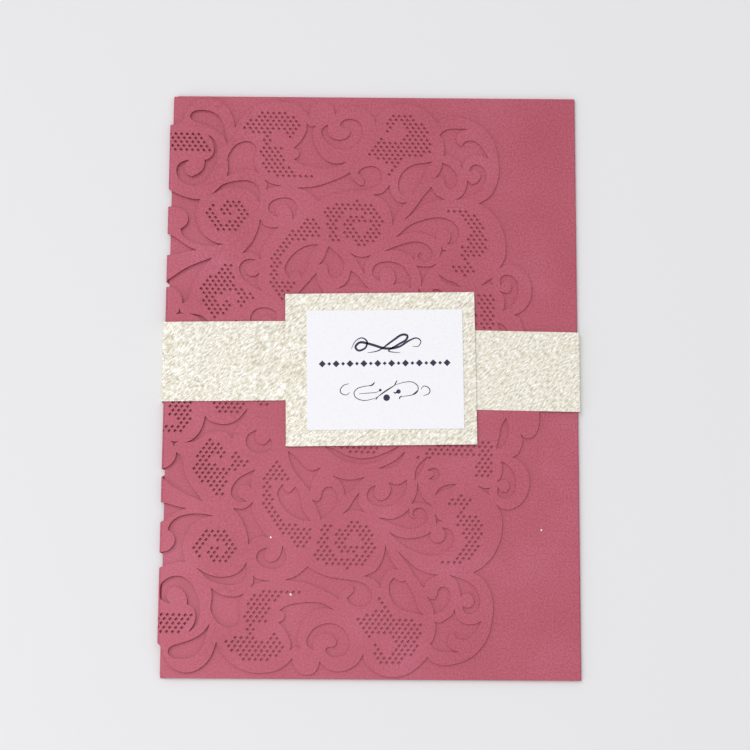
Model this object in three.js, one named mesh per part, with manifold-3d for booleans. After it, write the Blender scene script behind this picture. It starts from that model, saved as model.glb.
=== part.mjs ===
// A laser-cut invitation card: a folder of pearl card with a lace flap, held shut by a paper
// band with a tag on it, and a plain invitation sheet inside.
// Millimetres. The card lies on its back: +X to its right edge, +Y to its top edge, +Z up
// through the front. The origin is under the middle of the card, on the surface it lies on.

import * as THREE from 'three';
import { mergeVertices } from 'three/addons/utils/BufferGeometryUtils.js';
import Module from 'manifold-3d';

const wasm = await Module();
wasm.setup();

// Driving sizes of the folder
const cardWidth = 127;
const cardHeight = 183;
const folderSheet = 0.3;
const foldProud = 0.9;
const frontShort = 0.1;
const cornerClipAcross = 1.5;
const cornerClipDown = 1;

// How far the lace flap stands up at its fold, and where it comes down flat
const flapRise = 0.55;
const flapFlatFrom = -30;

// How the lace lies on the card: its turn, and the shift of its middle line
const laceTurn = 0.0175;
const laceShift = -0.54;
const laceFromLeftEdge = 63.5;
const laceTip = 51.6;
const laceEndAtFold = 81.4;

// Driving sizes of what the folder holds and what holds it
const insertWidth = 120;
const insertHeight = 176;
const insertSheet = 0.3;
const bandWidth = 25;
const bandSheet = 0.3;
const bandCorner = 0.35;
const bandUpperEnd = 20;
const bandLowerEnd = -15;
const bandUpperY = 6.9;
const bandLeftY = 5.3;
const bandRightY = 3.1;
const bandLowerY = 4.2;
const bandEndsPressed = 0.05;
const matWidth = 58.7;
const matHeight = 48;
const matSheet = 0.4;
const matX = 2.5;
const matY = 3.6;
const matTurn = 0.018;
const tagWidth = 48.3;
const tagHeight = 37.6;
const tagSheet = 0.3;
const tagShiftX = 1.35;
const tagShiftY = -0.3;

// Room between sheets that lie on each other without being glued
const clearance = 0.3;

// How finely curves are cut into straight stretches
const curveTolerance = 0.16;
const curveSamples = 6;
const foldSteps = 6;
const bowSteps = 3;
const bandCornerSteps = 3;

// Heights of the sheets, counted up from the surface that the card lies on
const backUnder = bandSheet;
const backTop = backUnder + folderSheet;
const frontUnder = backTop + insertSheet;
const frontTop = frontUnder + folderSheet;
const flapUnder = frontTop + clearance;
const flapTop = flapUnder + folderSheet;
const lowerEndUnder = flapTop;
const lowerEndTop = lowerEndUnder + bandSheet;
const upperEndUnder = lowerEndTop - bandEndsPressed;
const matUnder = upperEndUnder + bandSheet;

// Outline of the lace flap's upper half, from its fold round to its middle line. Each list is
// one scallop, a smooth curve that ends in the point where the next one starts.
const scallops = [
  [[-67, 81.2], [-63.8, 81.3], [-61.7, 82.9], [-60.6, 85.6], [-58.6, 88.6], [-55.4, 90.2],
    [-52, 90], [-48.9, 88.2], [-46.6, 85.2]],
  [[-45.2, 80.8], [-43.9, 83.4], [-41.6, 86.2], [-38.4, 88.5], [-34.4, 89.8], [-30, 89.8],
    [-26.2, 88.8], [-23.6, 86.9]],
  [[-22.2, 85.2], [-21.6, 87.6], [-20, 89.4], [-17.8, 90.2], [-15.6, 89.6], [-14.4, 88]],
  [[-13.9, 85.9], [-11.8, 88], [-8.8, 88.9], [-5.6, 88.4], [-3, 86.8], [-1.6, 85]],
  [[-0.8, 83.3], [-0.4, 85.4], [1.4, 87.8], [4.4, 89.6], [8, 90.2], [11.6, 89.6], [14.8, 87.8],
    [17, 85.7]],
  [[18.6, 83.8], [20.2, 85.4], [23, 86.3], [26.4, 85.9], [30.2, 84.6], [33.4, 82.3],
    [35.8, 79.2], [37.3, 75.5], [38, 71.5], [38.1, 67.5], [37.3, 63.9], [35.4, 60.4]],
  [[32, 58], [34.6, 56.4], [37.2, 53.8], [39, 50.8], [40.2, 47.4], [40.6, 43.8], [40.3, 40.4]],
  [[38.6, 37], [40.6, 38.4], [43.2, 38.4], [45.8, 37], [47.7, 34.6], [48.7, 31.4], [48.6, 28],
    [47.2, 25], [45.2, 23.2]],
  [[43.4, 22.4], [45, 21.3], [46, 19.4], [46.5, 17.2]],
  [[45.9, 15.1], [47.6, 16.3], [49.4, 16], [50.8, 14.4], [51.5, 12], [51.6, 8], [51.6, 4]],
];

// Cut-outs of the upper half. Each is a list of runs that join at points, as above.
const cutouts = {
  cornerLeaf: [
    [[-47.3, 75.3], [-48.8, 77.6], [-50.6, 79.2], [-53, 80.5], [-56, 81.6], [-58.6, 82.5],
      [-59.6, 83.9], [-59, 85.4], [-57.2, 86.2], [-54.4, 86.2], [-51.7, 85.3], [-49.8, 83.4],
      [-48.6, 80.6], [-47.9, 77.8]],
  ],
  cornerCurl: [
    [[-53.8, 78.3], [-52.4, 76.2], [-51.7, 73.9], [-52, 71.8], [-53.1, 70.4]],
    [[-54.5, 69.9], [-54.5, 68.2], [-55.1, 66.6], [-56.5, 65.3]],
    [[-58.4, 64.4], [-59.9, 65.3], [-60.6, 67], [-60.3, 68.6]],
    [[-59.3, 69.8], [-61.2, 69.3], [-62.7, 68.1], [-63.2, 66.2], [-62.6, 64], [-61, 62.3],
      [-58.4, 61.3], [-55.9, 61.6], [-53.6, 63.2], [-51.9, 65.9], [-50.8, 69], [-50.4, 72],
      [-50.8, 74.8], [-51.9, 76.8]],
  ],
  foldHook: [
    [[-55.4, 57.1], [-57.2, 57.1], [-59.4, 57.5], [-62, 58.4], [-64.5, 59.6], [-67, 60.8]],
    [[-68.6, 58.6], [-68, 55.6], [-65, 54.4], [-62, 54], [-60.4, 53.3], [-59.2, 51.8],
      [-58.9, 50.2], [-59.5, 48.6]],
    [[-61.2, 47.3], [-60.6, 45.6], [-59.2, 44], [-57.2, 42.9], [-54, 42.2], [-50.5, 42.2]],
    [[-47.4, 42.7], [-50.2, 43.3], [-52.8, 44.8], [-54.8, 47], [-56, 50], [-56.4, 53]],
  ],
  ringCrescent: [
    [[-52, 58.6], [-50.2, 60.4], [-48.6, 62], [-46, 63], [-42.2, 63.7], [-39.2, 63.2],
      [-37.3, 61.6], [-36.7, 59.4]],
    [[-36.9, 56.5], [-38.2, 58.7], [-40, 60.2], [-42.6, 61.1], [-46, 61.2], [-49.2, 60.2]],
  ],
  petal: [
    [[-47.3, 64.6], [-47, 67.5], [-47.3, 70.8], [-46.4, 73.2], [-44.6, 75.4], [-41.8, 76.5],
      [-39.4, 75.9], [-38.3, 74.1], [-38.6, 71.2], [-38.5, 68.4]],
    [[-37.4, 66.1], [-39.4, 67], [-42, 67.1], [-44.8, 66.4]],
  ],
  sweepingLeaf: [
    [[-22.9, 83], [-22.7, 81], [-23.4, 78.9], [-24.4, 77]],
    [[-26.6, 74.6], [-25.3, 73.9], [-24.8, 72.7], [-25.2, 71.6]],
    [[-26.5, 71], [-24.6, 69.6], [-21.5, 68.7], [-17, 68.2], [-13, 68.7]],
    [[-9.8, 70.5], [-12.8, 69.9], [-15.6, 70.5], [-18, 72.6], [-19.8, 75.4], [-20.7, 78.4],
      [-20.6, 80.4]],
    [[-19.8, 82.3], [-21.4, 81.8]],
  ],
  topCurl: [
    [[-16, 82.6], [-17.5, 81.6], [-18, 79.8], [-17.2, 77.8], [-15.4, 75.8], [-12.6, 74.6],
      [-9.4, 74.7], [-6.8, 76.2], [-5.3, 78.6], [-5, 81.2], [-6, 83.5], [-8.2, 84.6],
      [-10.6, 84.4], [-12, 83.3]],
    [[-12.1, 82.1], [-11.2, 81.5], [-10, 81.6], [-9, 80.6], [-9.3, 79.2], [-10.6, 78.1],
      [-12.6, 77.7], [-14.8, 78.4], [-16, 80.2]],
  ],
  longCurl: [
    [[-25.2, 61.7], [-22.5, 61.9], [-19.5, 62.3], [-16.3, 63.3], [-12.8, 64.8], [-10.4, 66]],
    [[-8.7, 67.2], [-8.2, 65.6], [-7, 64.2], [-5.6, 63.1]],
    [[-4.4, 62.9], [-4.2, 64.4], [-5, 65.6]],
    [[-6.2, 66.8], [-5.4, 68.1], [-3.7, 69.1], [-1.3, 69.3], [0.6, 68.3], [1.4, 66.4],
      [1, 64.3], [-0.6, 62.5], [-3.3, 61.5], [-6.6, 61.1], [-10.2, 60.7], [-13.6, 59.9],
      [-16.2, 58.7]],
    [[-18.4, 57.4], [-20.2, 59.2], [-22.3, 60.7]],
  ],
  rightHook: [
    [[19.2, 80], [20.4, 81.3], [22, 82.1], [24.5, 82.3]],
    [[28.3, 82.2], [26.3, 81.6], [24.9, 80.4], [24.6, 78.6], [25.2, 77.3]],
    [[26.3, 76.5], [27.1, 77.9], [28.8, 78.5], [30.8, 78.1], [32.4, 76.7], [33.6, 74.9]],
    [[34.8, 72.7], [32.6, 73.6], [30, 73.7], [28, 72.7], [27, 71.2]],
    [[26.5, 69.3], [25.7, 71.1], [24, 72.4], [22.2, 73.5]],
    [[20.6, 73.2], [20.9, 75], [20.6, 77], [20.1, 78.8]],
  ],
  rightCurl: [
    [[24.5, 58.9], [26.1, 59.9], [27.3, 61.5], [28, 63.4]],
    [[28.3, 65.5], [29.6, 64.3], [31.3, 64.8], [32.3, 66.5], [31.8, 68.1], [30.5, 68.8]],
    [[28.9, 68.3], [29.2, 69.8], [30.7, 70.7], [32.6, 70.2], [34, 68.4], [34.1, 66],
      [33.1, 63.4], [31.2, 61.3], [28.2, 59.9]],
  ],
  broadLeaf: [
    [[7.9, 60.2], [6.8, 61.6], [6.5, 63.6], [6.9, 65.8], [8, 67.8], [9.8, 69.4], [12.2, 70.4],
      [14.6, 70.8]],
    [[17.2, 71.3], [15.7, 69.6], [15, 67.6], [14.2, 65.4], [12.8, 63.2]],
    [[11.5, 61], [9.8, 61.3]],
  ],
  comma: [
    [[20.3, 71], [20, 69.2], [19.2, 67.4]],
    [[18, 65.7], [19.4, 66.4], [20.6, 66.2]],
    [[21.1, 65.1], [21.4, 63.6], [22.6, 62.6], [24.1, 62.9], [25.1, 64.4], [25.1, 66.4],
      [24.1, 68.4], [22.5, 70]],
  ],
  slantLeaf: [
    [[8.3, 51.6], [10.3, 53.9], [12.2, 56.4], [14.3, 59.6]],
    [[17, 63.1], [17.8, 61.4], [19, 60.2]],
    [[21.4, 59], [18.4, 58.6], [15, 57.3], [12, 54.8]],
  ],
  wideHook: [
    [[6, 46.2], [8.6, 47.5], [11.6, 48.1], [14.4, 47.9], [17, 47.1]],
    [[18.9, 45.9], [18.8, 47.6], [20, 49], [21.9, 49.1], [23.2, 47.6], [23.1, 45.8]],
    [[22.2, 44.5], [24.3, 44.9], [25.7, 46.4], [26, 48.6], [25, 50.8], [22.8, 52.5],
      [19.6, 53.2], [16, 52.7], [12.6, 51.5], [9.8, 49.9]],
  ],
  lowHook: [
    [[2.6, 41.9], [4.6, 42.8], [7, 43.8], [9.6, 44.7], [12.2, 45.2], [14.8, 44.8],
      [16.9, 43.5], [17.9, 41.6], [17.3, 39.7], [15.8, 38.6], [14.2, 38.9]],
    [[13.2, 39.9], [13.3, 41]],
    [[14.1, 41.9], [12.7, 41.5], [12.2, 40.5]],
    [[12.2, 39], [10.8, 40.4], [9, 41.5], [6.6, 42.3]],
  ],
  rightSpur: [
    [[20.6, 44], [20.9, 42.9]],
    [[22.4, 42.5], [21.1, 42]],
    [[19.9, 40.4], [20.4, 42.2]],
  ],
  lowerSpur: [
    [[33, 31.5], [34.8, 33]],
    [[36.8, 34.3], [36.1, 33.1]],
    [[36.9, 31.9], [35, 32.1]],
  ],
  upperSpur: [
    [[-35.5, 64.2], [-34.2, 63.3], [-32.4, 62.6]],
    [[-29.6, 62.1], [-32, 61.9], [-33.4, 61.5]],
    [[-34.9, 60.7], [-34.6, 62.4]],
  ],
  middleCurl: [
    [[-30.8, 52], [-32.5, 52.6], [-33.8, 53.9], [-33.9, 55.7], [-32.7, 57.3], [-30.6, 58.2],
      [-28, 58.4], [-25.9, 57.4], [-24.9, 55.4], [-25.1, 53.2]],
    [[-26.2, 51.3], [-26.5, 53.3], [-27.4, 55.2], [-29.2, 56.3], [-31, 55.7], [-31.6, 54]],
  ],
  ringShadow: [
    [[-36.5, 51.2], [-36.8, 48.8], [-37.6, 46.2], [-38.9, 43.4]],
    [[-41.6, 40.1], [-39, 40.4], [-37.2, 39.6]],
    [[-35.5, 37.9], [-35.9, 40], [-35, 42.6], [-33.4, 45.2], [-32, 47.3]],
    [[-30.5, 48.8], [-32.8, 48.6], [-34.9, 49.3]],
  ],
  foldLeaf: [
    [[-50.8, 38.4], [-54.5, 36.9], [-58, 35.3], [-61, 33.4], [-63.6, 31.4], [-66.2, 30]],
    [[-68, 28.8], [-65, 28.6], [-62.6, 28.2], [-60.8, 26.9], [-59.8, 25.2]],
    [[-59.6, 23.4], [-58.2, 24.3], [-57.3, 26.6], [-56.7, 29.5], [-55.2, 32.6], [-53, 35.6]],
  ],
  foldSlot: [
    [[-55.8, 40.6], [-58.6, 41.8], [-61, 43.4], [-63.5, 45], [-66.5, 45.8], [-68.6, 43.6],
      [-68, 40.2], [-65.5, 38.8], [-62, 39.2], [-58.8, 40]],
  ],
  lowCurl: [
    [[-37.3, 38], [-39.4, 38.3], [-41.5, 37.3], [-42.4, 35.3], [-41.8, 33], [-40.3, 31],
      [-38.1, 29.5]],
    [[-35.1, 28], [-36.3, 30], [-36.5, 32]],
    [[-36.1, 33.9], [-37.6, 32.8], [-39.4, 33.1], [-40.5, 34.6], [-40.1, 36.3], [-38.9, 37.2]],
  ],
  bandCurl: [
    [[-30.4, 21.6], [-32.6, 22.7], [-35.4, 22.8], [-37.6, 21.5], [-38.4, 19.4], [-37.7, 17.2]],
    [[-35.2, 15.7], [-35.6, 17.8], [-34.8, 19.6], [-32.8, 20.2]],
    [[-30.9, 18.3], [-30.2, 19.8]],
  ],
  bandLeaf: [
    [[-57.6, 20.4], [-55.2, 19.5], [-53.2, 17.6], [-51.9, 15]],
    [[-51.2, 11.8], [-49.6, 13.3], [-46.8, 14.2], [-43.6, 14], [-40.9, 12.4]],
    [[-38.2, 9], [-39.2, 12], [-40.8, 14.6], [-41.8, 16.4]],
    [[-42.6, 18.8], [-44.4, 17], [-47.2, 16.4], [-50.4, 17.2], [-53.4, 19.6]],
  ],
  foldSpur: [
    [[-61.6, 19.9], [-60.7, 20.6]],
    [[-60.4, 21.9], [-60, 20.7]],
    [[-59, 20], [-60.3, 20.1]],
  ],
  underLeaf: [
    [[-17.8, 43.5], [-20.6, 43.3], [-23.4, 42.1], [-25.8, 40.1], [-27.6, 37.5], [-28.2, 34.8]],
    [[-26.7, 32.3], [-26, 34.2], [-24.6, 34.9]],
    [[-22.8, 33], [-21.4, 35.2], [-20.8, 38], [-19.8, 41]],
  ],
  bud: [
    [[-14.7, 43], [-15.5, 40.8], [-16.3, 38.8]],
    [[-17.6, 37], [-15.9, 37.4], [-14.9, 36.2], [-14.6, 34.4], [-13.4, 33], [-11.6, 33],
      [-10.2, 34.6], [-9.6, 36.8], [-10.3, 39], [-12.2, 41]],
  ],
  tagLeaf: [
    [[-18.3, 34.4], [-20.3, 31.9], [-22.8, 28.9], [-24.6, 25.6]],
    [[-25.4, 22], [-22.6, 24.2], [-20.2, 26.8], [-17.8, 28]],
    [[-15.2, 26.8], [-16.6, 29.4], [-17.8, 31.6]],
  ],
  gusset: [
    [[-8.3, 41.3], [-6.4, 40.2], [-4, 39.8]],
    [[-1.4, 40.5], [-2.6, 39], [-3.4, 37]],
    [[-3.2, 34.3], [-4.7, 36.4], [-6.2, 39]],
  ],
  wedge: [
    [[-7.6, 35.4], [-8.2, 32.8], [-9.4, 30.9]],
    [[-11.6, 29.4], [-8, 30.4], [-5, 30.4]],
    [[-1.6, 29.6], [-3.6, 31.6], [-5.4, 33.8]],
  ],
  tagHook: [
    [[1.7, 32], [-0.1, 33.1], [-0.9, 35.2], [0, 37.4], [2.4, 38.4], [5.3, 38.5], [8.2, 37.4],
      [10.2, 35.2], [11.2, 32.6]],
    [[11.2, 30], [9.4, 31.4], [7.6, 31.6]],
    [[5.6, 31], [6.4, 32.8], [6, 34.8], [4.4, 36.4], [2.4, 36.4], [1.3, 34.6]],
  ],
  thorn: [
    [[12.8, 37.4], [13.9, 35.2], [14.4, 33]],
    [[14.5, 30.6], [15.3, 33.4], [16.8, 36]],
    [[19.5, 38.5], [17.4, 37.4], [15.2, 37.2]],
  ],
  thinLeaf: [
    [[19.8, 34.8], [21.2, 32.6], [23.4, 31.4]],
    [[26.6, 30.9], [25, 32.3], [22.6, 33.1]],
  ],
  edgeCurl: [
    [[38.7, 30.1], [39.8, 28.9], [40.3, 27.2], [40.4, 25.6]],
    [[40, 23.6], [42.4, 25], [44, 27.2], [44.7, 30], [44.3, 32.9], [42.8, 34.8], [40.7, 35.2],
      [39, 34]],
    [[39.2, 31.6], [40.2, 33], [41.8, 33], [42.6, 31.4], [42, 29.8], [40.6, 29.4]],
  ],
  edgeLeaf: [
    [[38.4, 19.8], [40.6, 18.8], [42, 16.4], [42.2, 13.4]],
    [[41.4, 10], [39.8, 13], [39.2, 16.4]],
  ],
  star: [
    [[-1.2, 60], [1.4, 60.6], [2.8, 61.8]],
    [[3.9, 63.3], [4.2, 61.2], [5.4, 59], [7, 57.7]],
    [[9.3, 57.8], [7.7, 55.9], [6.4, 53.6]],
    [[5.1, 50.3], [4.8, 53], [3.9, 55.8], [2, 58.4]],
  ],
  medallion: [
    [[-15, 19.6], [-11.6, 22.8], [-7.6, 24.8], [-3, 25.6], [1.4, 24.9], [5.4, 22.8]],
    [[8.8, 19.6], [4.6, 21.8], [0.8, 23.3], [-3, 23.8], [-7, 23.1], [-11, 21.3]],
  ],
  medallionLeaf: [
    [[2.4, 26.8], [5.4, 25.4], [8, 23.8]],
    [[10.6, 21.2], [9, 24.6], [6.2, 26.6]],
  ],
  crescentLeaf: [
    [[13.6, 30.2], [13.8, 27.4], [15, 25]],
    [[17.6, 22.6], [16.4, 25.4], [15.4, 27.8]],
  ],
  smallComma: [
    [[17.8, 29.8], [19.8, 30], [21.2, 28.8], [21, 27], [19.4, 26.2]],
    [[17.4, 27], [19, 27.4], [19.2, 28.6]],
  ],
};

// Puts a point of the lace where it lies on the card, counted as if the card were unfolded flat
function onCard([across, up]) {
  return new THREE.Vector2(
    laceFromLeftEdge - cardWidth / 2 + across * Math.cos(laceTurn) + up * Math.sin(laceTurn),
    -across * Math.sin(laceTurn) + up * Math.cos(laceTurn) + laceShift
  );
}

// Keeps only the points that a curve needs for its straight stretches to follow it closely
function simplified(points) {
  const first = points[0];
  const last = points[points.length - 1];
  const chord = last.clone().sub(first);
  const closed = chord.length() === 0;
  let widest = 0;
  let split = 0;
  points.forEach((point, i) => {
    const reach = point.clone().sub(first);
    const offset = closed ? reach.length() : Math.abs(chord.cross(reach)) / chord.length();
    if (offset > widest) {
      widest = offset;
      split = i;
    }
  });
  if (widest <= curveTolerance) {
    return [first, last];
  }
  return [...simplified(points.slice(0, split + 1)).slice(0, -1), ...simplified(points.slice(split))];
}

// The points of an outline made of runs, with the last run ending at the given point
function outlinePoints(runs, lastPoint) {
  const points = [];
  runs.forEach((run, index) => {
    const next = index + 1 < runs.length ? runs[index + 1][0] : lastPoint;
    const knots = [...run, next].map((p) => new THREE.Vector2(p[0], p[1]));
    const curve = new THREE.SplineCurve(knots);
    const fine = curve.getPoints((knots.length - 1) * curveSamples);
    points.push(...simplified(fine).slice(0, -1));
  });
  return points;
}

function mirrored(points) {
  return points.map((p) => new THREE.Vector2(p.x, -p.y)).reverse();
}

function placed(points) {
  return points.map((p) => onCard([p.x, p.y]));
}

// The way that a folded sheet takes: straight stretches joined at corners, each with the
// position across the card and the height of the middle of the sheet's thickness
function arc(centreX, centreZ, radius, fromAngle, toAngle, steps) {
  const corners = [];
  for (let step = 0; step <= steps; step += 1) {
    const angle = fromAngle + ((toAngle - fromAngle) * step) / steps;
    corners.push([centreX + radius * Math.cos(angle), centreZ + radius * Math.sin(angle)]);
  }
  return corners;
}

// Height of the flap's middle plane: high at the fold, easing down to where it lies flat
const flapFlatMiddle = (flapUnder + flapTop) / 2;
const flapFoldMiddle = flapFlatMiddle + flapRise;
const backMiddle = (backUnder + backTop) / 2;
const frontMiddle = (frontUnder + frontTop) / 2;
const leftFoldRadius = (flapFoldMiddle - backMiddle) / 2;
const leftFoldX = -cardWidth / 2 - foldProud + folderSheet / 2 + leftFoldRadius;
const rightFoldRadius = (frontMiddle - backMiddle) / 2;
const rightFoldX = cardWidth / 2 - folderSheet / 2 - rightFoldRadius;

function flapHeight(x) {
  const along = Math.min(Math.max((x - leftFoldX) / (flapFlatFrom - leftFoldX), 0), 1);
  return flapFlatMiddle + flapRise * (1 - along * along * (3 - 2 * along));
}

const flapBow = [];
for (let step = 1; step <= bowSteps; step += 1) {
  const x = leftFoldX + ((flapFlatFrom - leftFoldX) * step) / bowSteps;
  flapBow.push([x, flapHeight(x)]);
}

// A sheet's path with the length unrolled so far at each corner
function pathOf(corners) {
  const lengths = [0];
  for (let i = 1; i < corners.length; i += 1) {
    const dx = corners[i][0] - corners[i - 1][0];
    const dz = corners[i][1] - corners[i - 1][1];
    lengths.push(lengths[i - 1] + Math.hypot(dx, dz));
  }
  return { corners, lengths };
}

// Direction of one straight stretch of a path
function stretchDirection({ corners }, index) {
  const dx = corners[index + 1][0] - corners[index][0];
  const dz = corners[index + 1][1] - corners[index][1];
  const length = Math.hypot(dx, dz);
  return [dx / length, dz / length];
}

// Offset from a corner of the path to the corner of the sheet's face, for one unit of thickness
function mitre(path, index) {
  const last = path.corners.length - 2;
  const before = stretchDirection(path, Math.max(index - 1, 0));
  const after = stretchDirection(path, Math.min(index, last));
  const sum = [before[0] + after[0], before[1] + after[1]];
  const scale = 2 / (sum[0] * sum[0] + sum[1] * sum[1]);
  return [-sum[1] * scale, sum[0] * scale];
}

// Lays a point of the unrolled sheet on its path; height is counted from the sheet's middle
function layOnPath(path, along, height) {
  const { corners, lengths } = path;
  const last = corners.length - 2;
  let index = 0;
  while (index < last && along > lengths[index + 1]) {
    index += 1;
  }
  const share = (along - lengths[index]) / (lengths[index + 1] - lengths[index]);
  const from = mitre(path, index);
  const to = mitre(path, index + 1);
  const x = corners[index][0] + (corners[index + 1][0] - corners[index][0]) * share;
  const z = corners[index][1] + (corners[index + 1][1] - corners[index][1]) * share;
  return [
    x + height * (from[0] + (to[0] - from[0]) * share),
    z + height * (from[1] + (to[1] - from[1]) * share),
  ];
}

function solidOf(geometry) {
  geometry.deleteAttribute('normal');
  geometry.deleteAttribute('uv');
  const merged = mergeVertices(geometry, 1e-4);
  const vertProperties = Float32Array.from(merged.getAttribute('position').array);
  const triVerts = Uint32Array.from(merged.getIndex().array);
  return new wasm.Manifold(new wasm.Mesh({ numProp: 3, vertProperties, triVerts }));
}

// Cuts a flat sheet into strips along its creases, from its free edge on
function stripsOf(sheet, creases) {
  const strips = [];
  let rest = sheet;
  for (const along of creases) {
    const [beyond, before] = rest.splitByPlane([1, 0, 0], along);
    strips.push(before);
    rest = beyond;
  }
  return [...strips, rest];
}

// Makes a flat sheet from an outline and its holes, and folds it along a path
function foldedSheet(outline, holes, thickness, path, unrollFrom) {
  const shape = new THREE.Shape(outline);
  shape.holes = holes.map((points) => new THREE.Path(points));
  const flat = new THREE.ExtrudeGeometry(shape, { depth: thickness, bevelEnabled: false });
  flat.translate(-unrollFrom, 0, -thickness / 2);
  const folded = stripsOf(solidOf(flat), path.lengths.slice(1, -1)).map((strip) => {
    const { vertProperties, triVerts } = strip.getMesh();
    for (let i = 0; i < vertProperties.length; i += 3) {
      const [x, z] = layOnPath(path, vertProperties[i], vertProperties[i + 2]);
      vertProperties[i] = x;
      vertProperties[i + 2] = z;
    }
    return new wasm.Manifold(new wasm.Mesh({ numProp: 3, vertProperties, triVerts }));
  });
  return folded.reduce((joined, strip) => joined.add(strip));
}

function geometryOf(solid) {
  const mesh = solid.getMesh();
  const geometry = new THREE.BufferGeometry();
  geometry.setAttribute('position', new THREE.BufferAttribute(mesh.vertProperties, 3));
  geometry.setIndex(new THREE.BufferAttribute(mesh.triVerts, 1));
  geometry.computeVertexNormals();
  return geometry;
}

function pieceOf(name, geometry, material) {
  const mesh = new THREE.Mesh(geometry, material);
  mesh.name = name;
  return mesh;
}

// The folder, unrolled from the free edge of its front panel to the tip of its lace flap
const frontEdgeX = -cardWidth / 2 + frontShort;
const folderPath = pathOf([
  [frontEdgeX, frontMiddle],
  ...arc(rightFoldX, (frontMiddle + backMiddle) / 2, rightFoldRadius, Math.PI / 2,
    -Math.PI / 2, foldSteps),
  ...arc(leftFoldX, (flapFoldMiddle + backMiddle) / 2, leftFoldRadius, -Math.PI / 2,
    (-3 * Math.PI) / 2, foldSteps),
  ...flapBow,
  [cardWidth / 2, flapFlatMiddle],
]);

// Unrolled, the flap's points keep their place across the card, and the rest lies left of it
const flapStart = 1 + 2 * foldSteps + 1;
const unrollShift = leftFoldX - folderPath.lengths[flapStart];
const backEdge = leftFoldX - Math.PI * leftFoldRadius;
const halfHeight = cardHeight / 2;

function folderOutline() {
  const upper = outlinePoints(scallops, [laceTip, 0]);
  const flapEdge = [...placed(upper), ...placed(mirrored(upper))]
    .reverse()
    .filter((point) => point.x > backEdge);
  const free = unrollShift;
  return [
    new THREE.Vector2(backEdge, halfHeight),
    new THREE.Vector2(free + cornerClipAcross, halfHeight),
    new THREE.Vector2(free, halfHeight - cornerClipDown),
    new THREE.Vector2(free, -halfHeight + cornerClipDown),
    new THREE.Vector2(free + cornerClipAcross, -halfHeight),
    new THREE.Vector2(backEdge, -halfHeight),
    new THREE.Vector2(backEdge, -laceEndAtFold),
    ...flapEdge,
    new THREE.Vector2(backEdge, laceEndAtFold),
  ];
}

function laceHoles() {
  const holes = [];
  for (const runs of Object.values(cutouts)) {
    const upper = outlinePoints(runs, runs[0][0]);
    holes.push(placed(upper), placed(mirrored(upper)));
  }
  return holes;
}

const pearlCard = new THREE.MeshStandardMaterial({
  color: 0xb95c6f,
  roughness: 0.55,
  metalness: 0.1,
});
const glitterPaper = new THREE.MeshStandardMaterial({
  color: 0xe1dabe,
  roughness: 0.4,
  metalness: 0.3,
});
const whiteCard = new THREE.MeshStandardMaterial({
  color: 0xf2f2f6,
  roughness: 0.7,
  metalness: 0,
});

const card = new THREE.Group();

const folderSolid = foldedSheet(folderOutline(), laceHoles(), folderSheet, folderPath, unrollShift);
card.add(pieceOf('folder', geometryOf(folderSolid), pearlCard));

// The invitation sheet inside, lying on the back panel
const insert = new THREE.BoxGeometry(insertWidth, insertHeight, insertSheet);
insert.translate(0, 0, backTop + insertSheet / 2);
card.add(pieceOf('insert_card', insert, whiteCard));

// The band goes from its lower end out to the right edge, under the card, round the left edge
// and back over the lace to its upper end, which lies on the lower one
const lowerEndMiddle = lowerEndUnder + bandSheet / 2;
const upperEndMiddle = upperEndUnder + bandSheet / 2;
const underMiddle = bandSheet / 2;
const bandRightX = cardWidth / 2 + clearance + bandSheet / 2;
const bandLeftX = leftFoldX - leftFoldRadius - folderSheet / 2 - clearance - bandSheet / 2;
const bandOverFold = flapFoldMiddle + folderSheet / 2 + clearance + bandSheet / 2;
const turn = Math.PI / 2;
const bandPath = pathOf([
  [bandLowerEnd, lowerEndMiddle],
  ...arc(bandRightX - bandCorner, lowerEndMiddle - bandCorner, bandCorner, turn, 0,
    bandCornerSteps),
  ...arc(bandRightX - bandCorner, underMiddle + bandCorner, bandCorner, 0, -turn,
    bandCornerSteps),
  ...arc(bandLeftX + bandCorner, underMiddle + bandCorner, bandCorner, -turn, -2 * turn,
    bandCornerSteps),
  ...arc(bandLeftX + bandCorner, bandOverFold - bandCorner, bandCorner, -2 * turn, -3 * turn,
    bandCornerSteps),
  [flapFlatFrom, upperEndMiddle],
  [bandUpperEnd, upperEndMiddle],
]);

// The strip runs a little askew, so its middle line has a height of its own at each edge
function bandOutline() {
  const { lengths } = bandPath;
  const sideCorners = 2 * (bandCornerSteps + 1);
  const middleLine = [
    [0, bandLowerY],
    [lengths[1 + bandCornerSteps], bandRightY],
    [lengths[1 + sideCorners + bandCornerSteps], bandLeftY],
    [lengths[lengths.length - 1], bandUpperY],
  ];
  const edge = (side) => middleLine.map(([along, y]) => new THREE.Vector2(along, y + side));
  return [...edge(-bandWidth / 2), ...edge(bandWidth / 2).reverse()];
}

card.add(pieceOf('belly_band', geometryOf(foldedSheet(bandOutline(), [], bandSheet, bandPath, 0)),
  glitterPaper));

// The tag: white card glued on a larger piece of glitter card, glued on the band
const tag = new THREE.Group();
tag.position.set(matX, matY, matUnder);
tag.rotation.z = matTurn;
const mat = new THREE.BoxGeometry(matWidth, matHeight, matSheet);
mat.translate(0, 0, matSheet / 2);
tag.add(pieceOf('tag_mat', mat, glitterPaper));
const label = new THREE.BoxGeometry(tagWidth, tagHeight, tagSheet);
label.translate(tagShiftX, tagShiftY, matSheet + tagSheet / 2);
tag.add(pieceOf('tag_card', label, whiteCard));
card.add(tag);

export default card;
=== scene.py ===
# The looks of a laser-cut invitation card: a folder of pearl card whose lace flap has a fine net,
# held shut by a band of glitter paper with a tag on it.
# Outlines are in millimetres on the card, and go into the scene in metres.

import math
import random
from bisect import bisect_right

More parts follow.
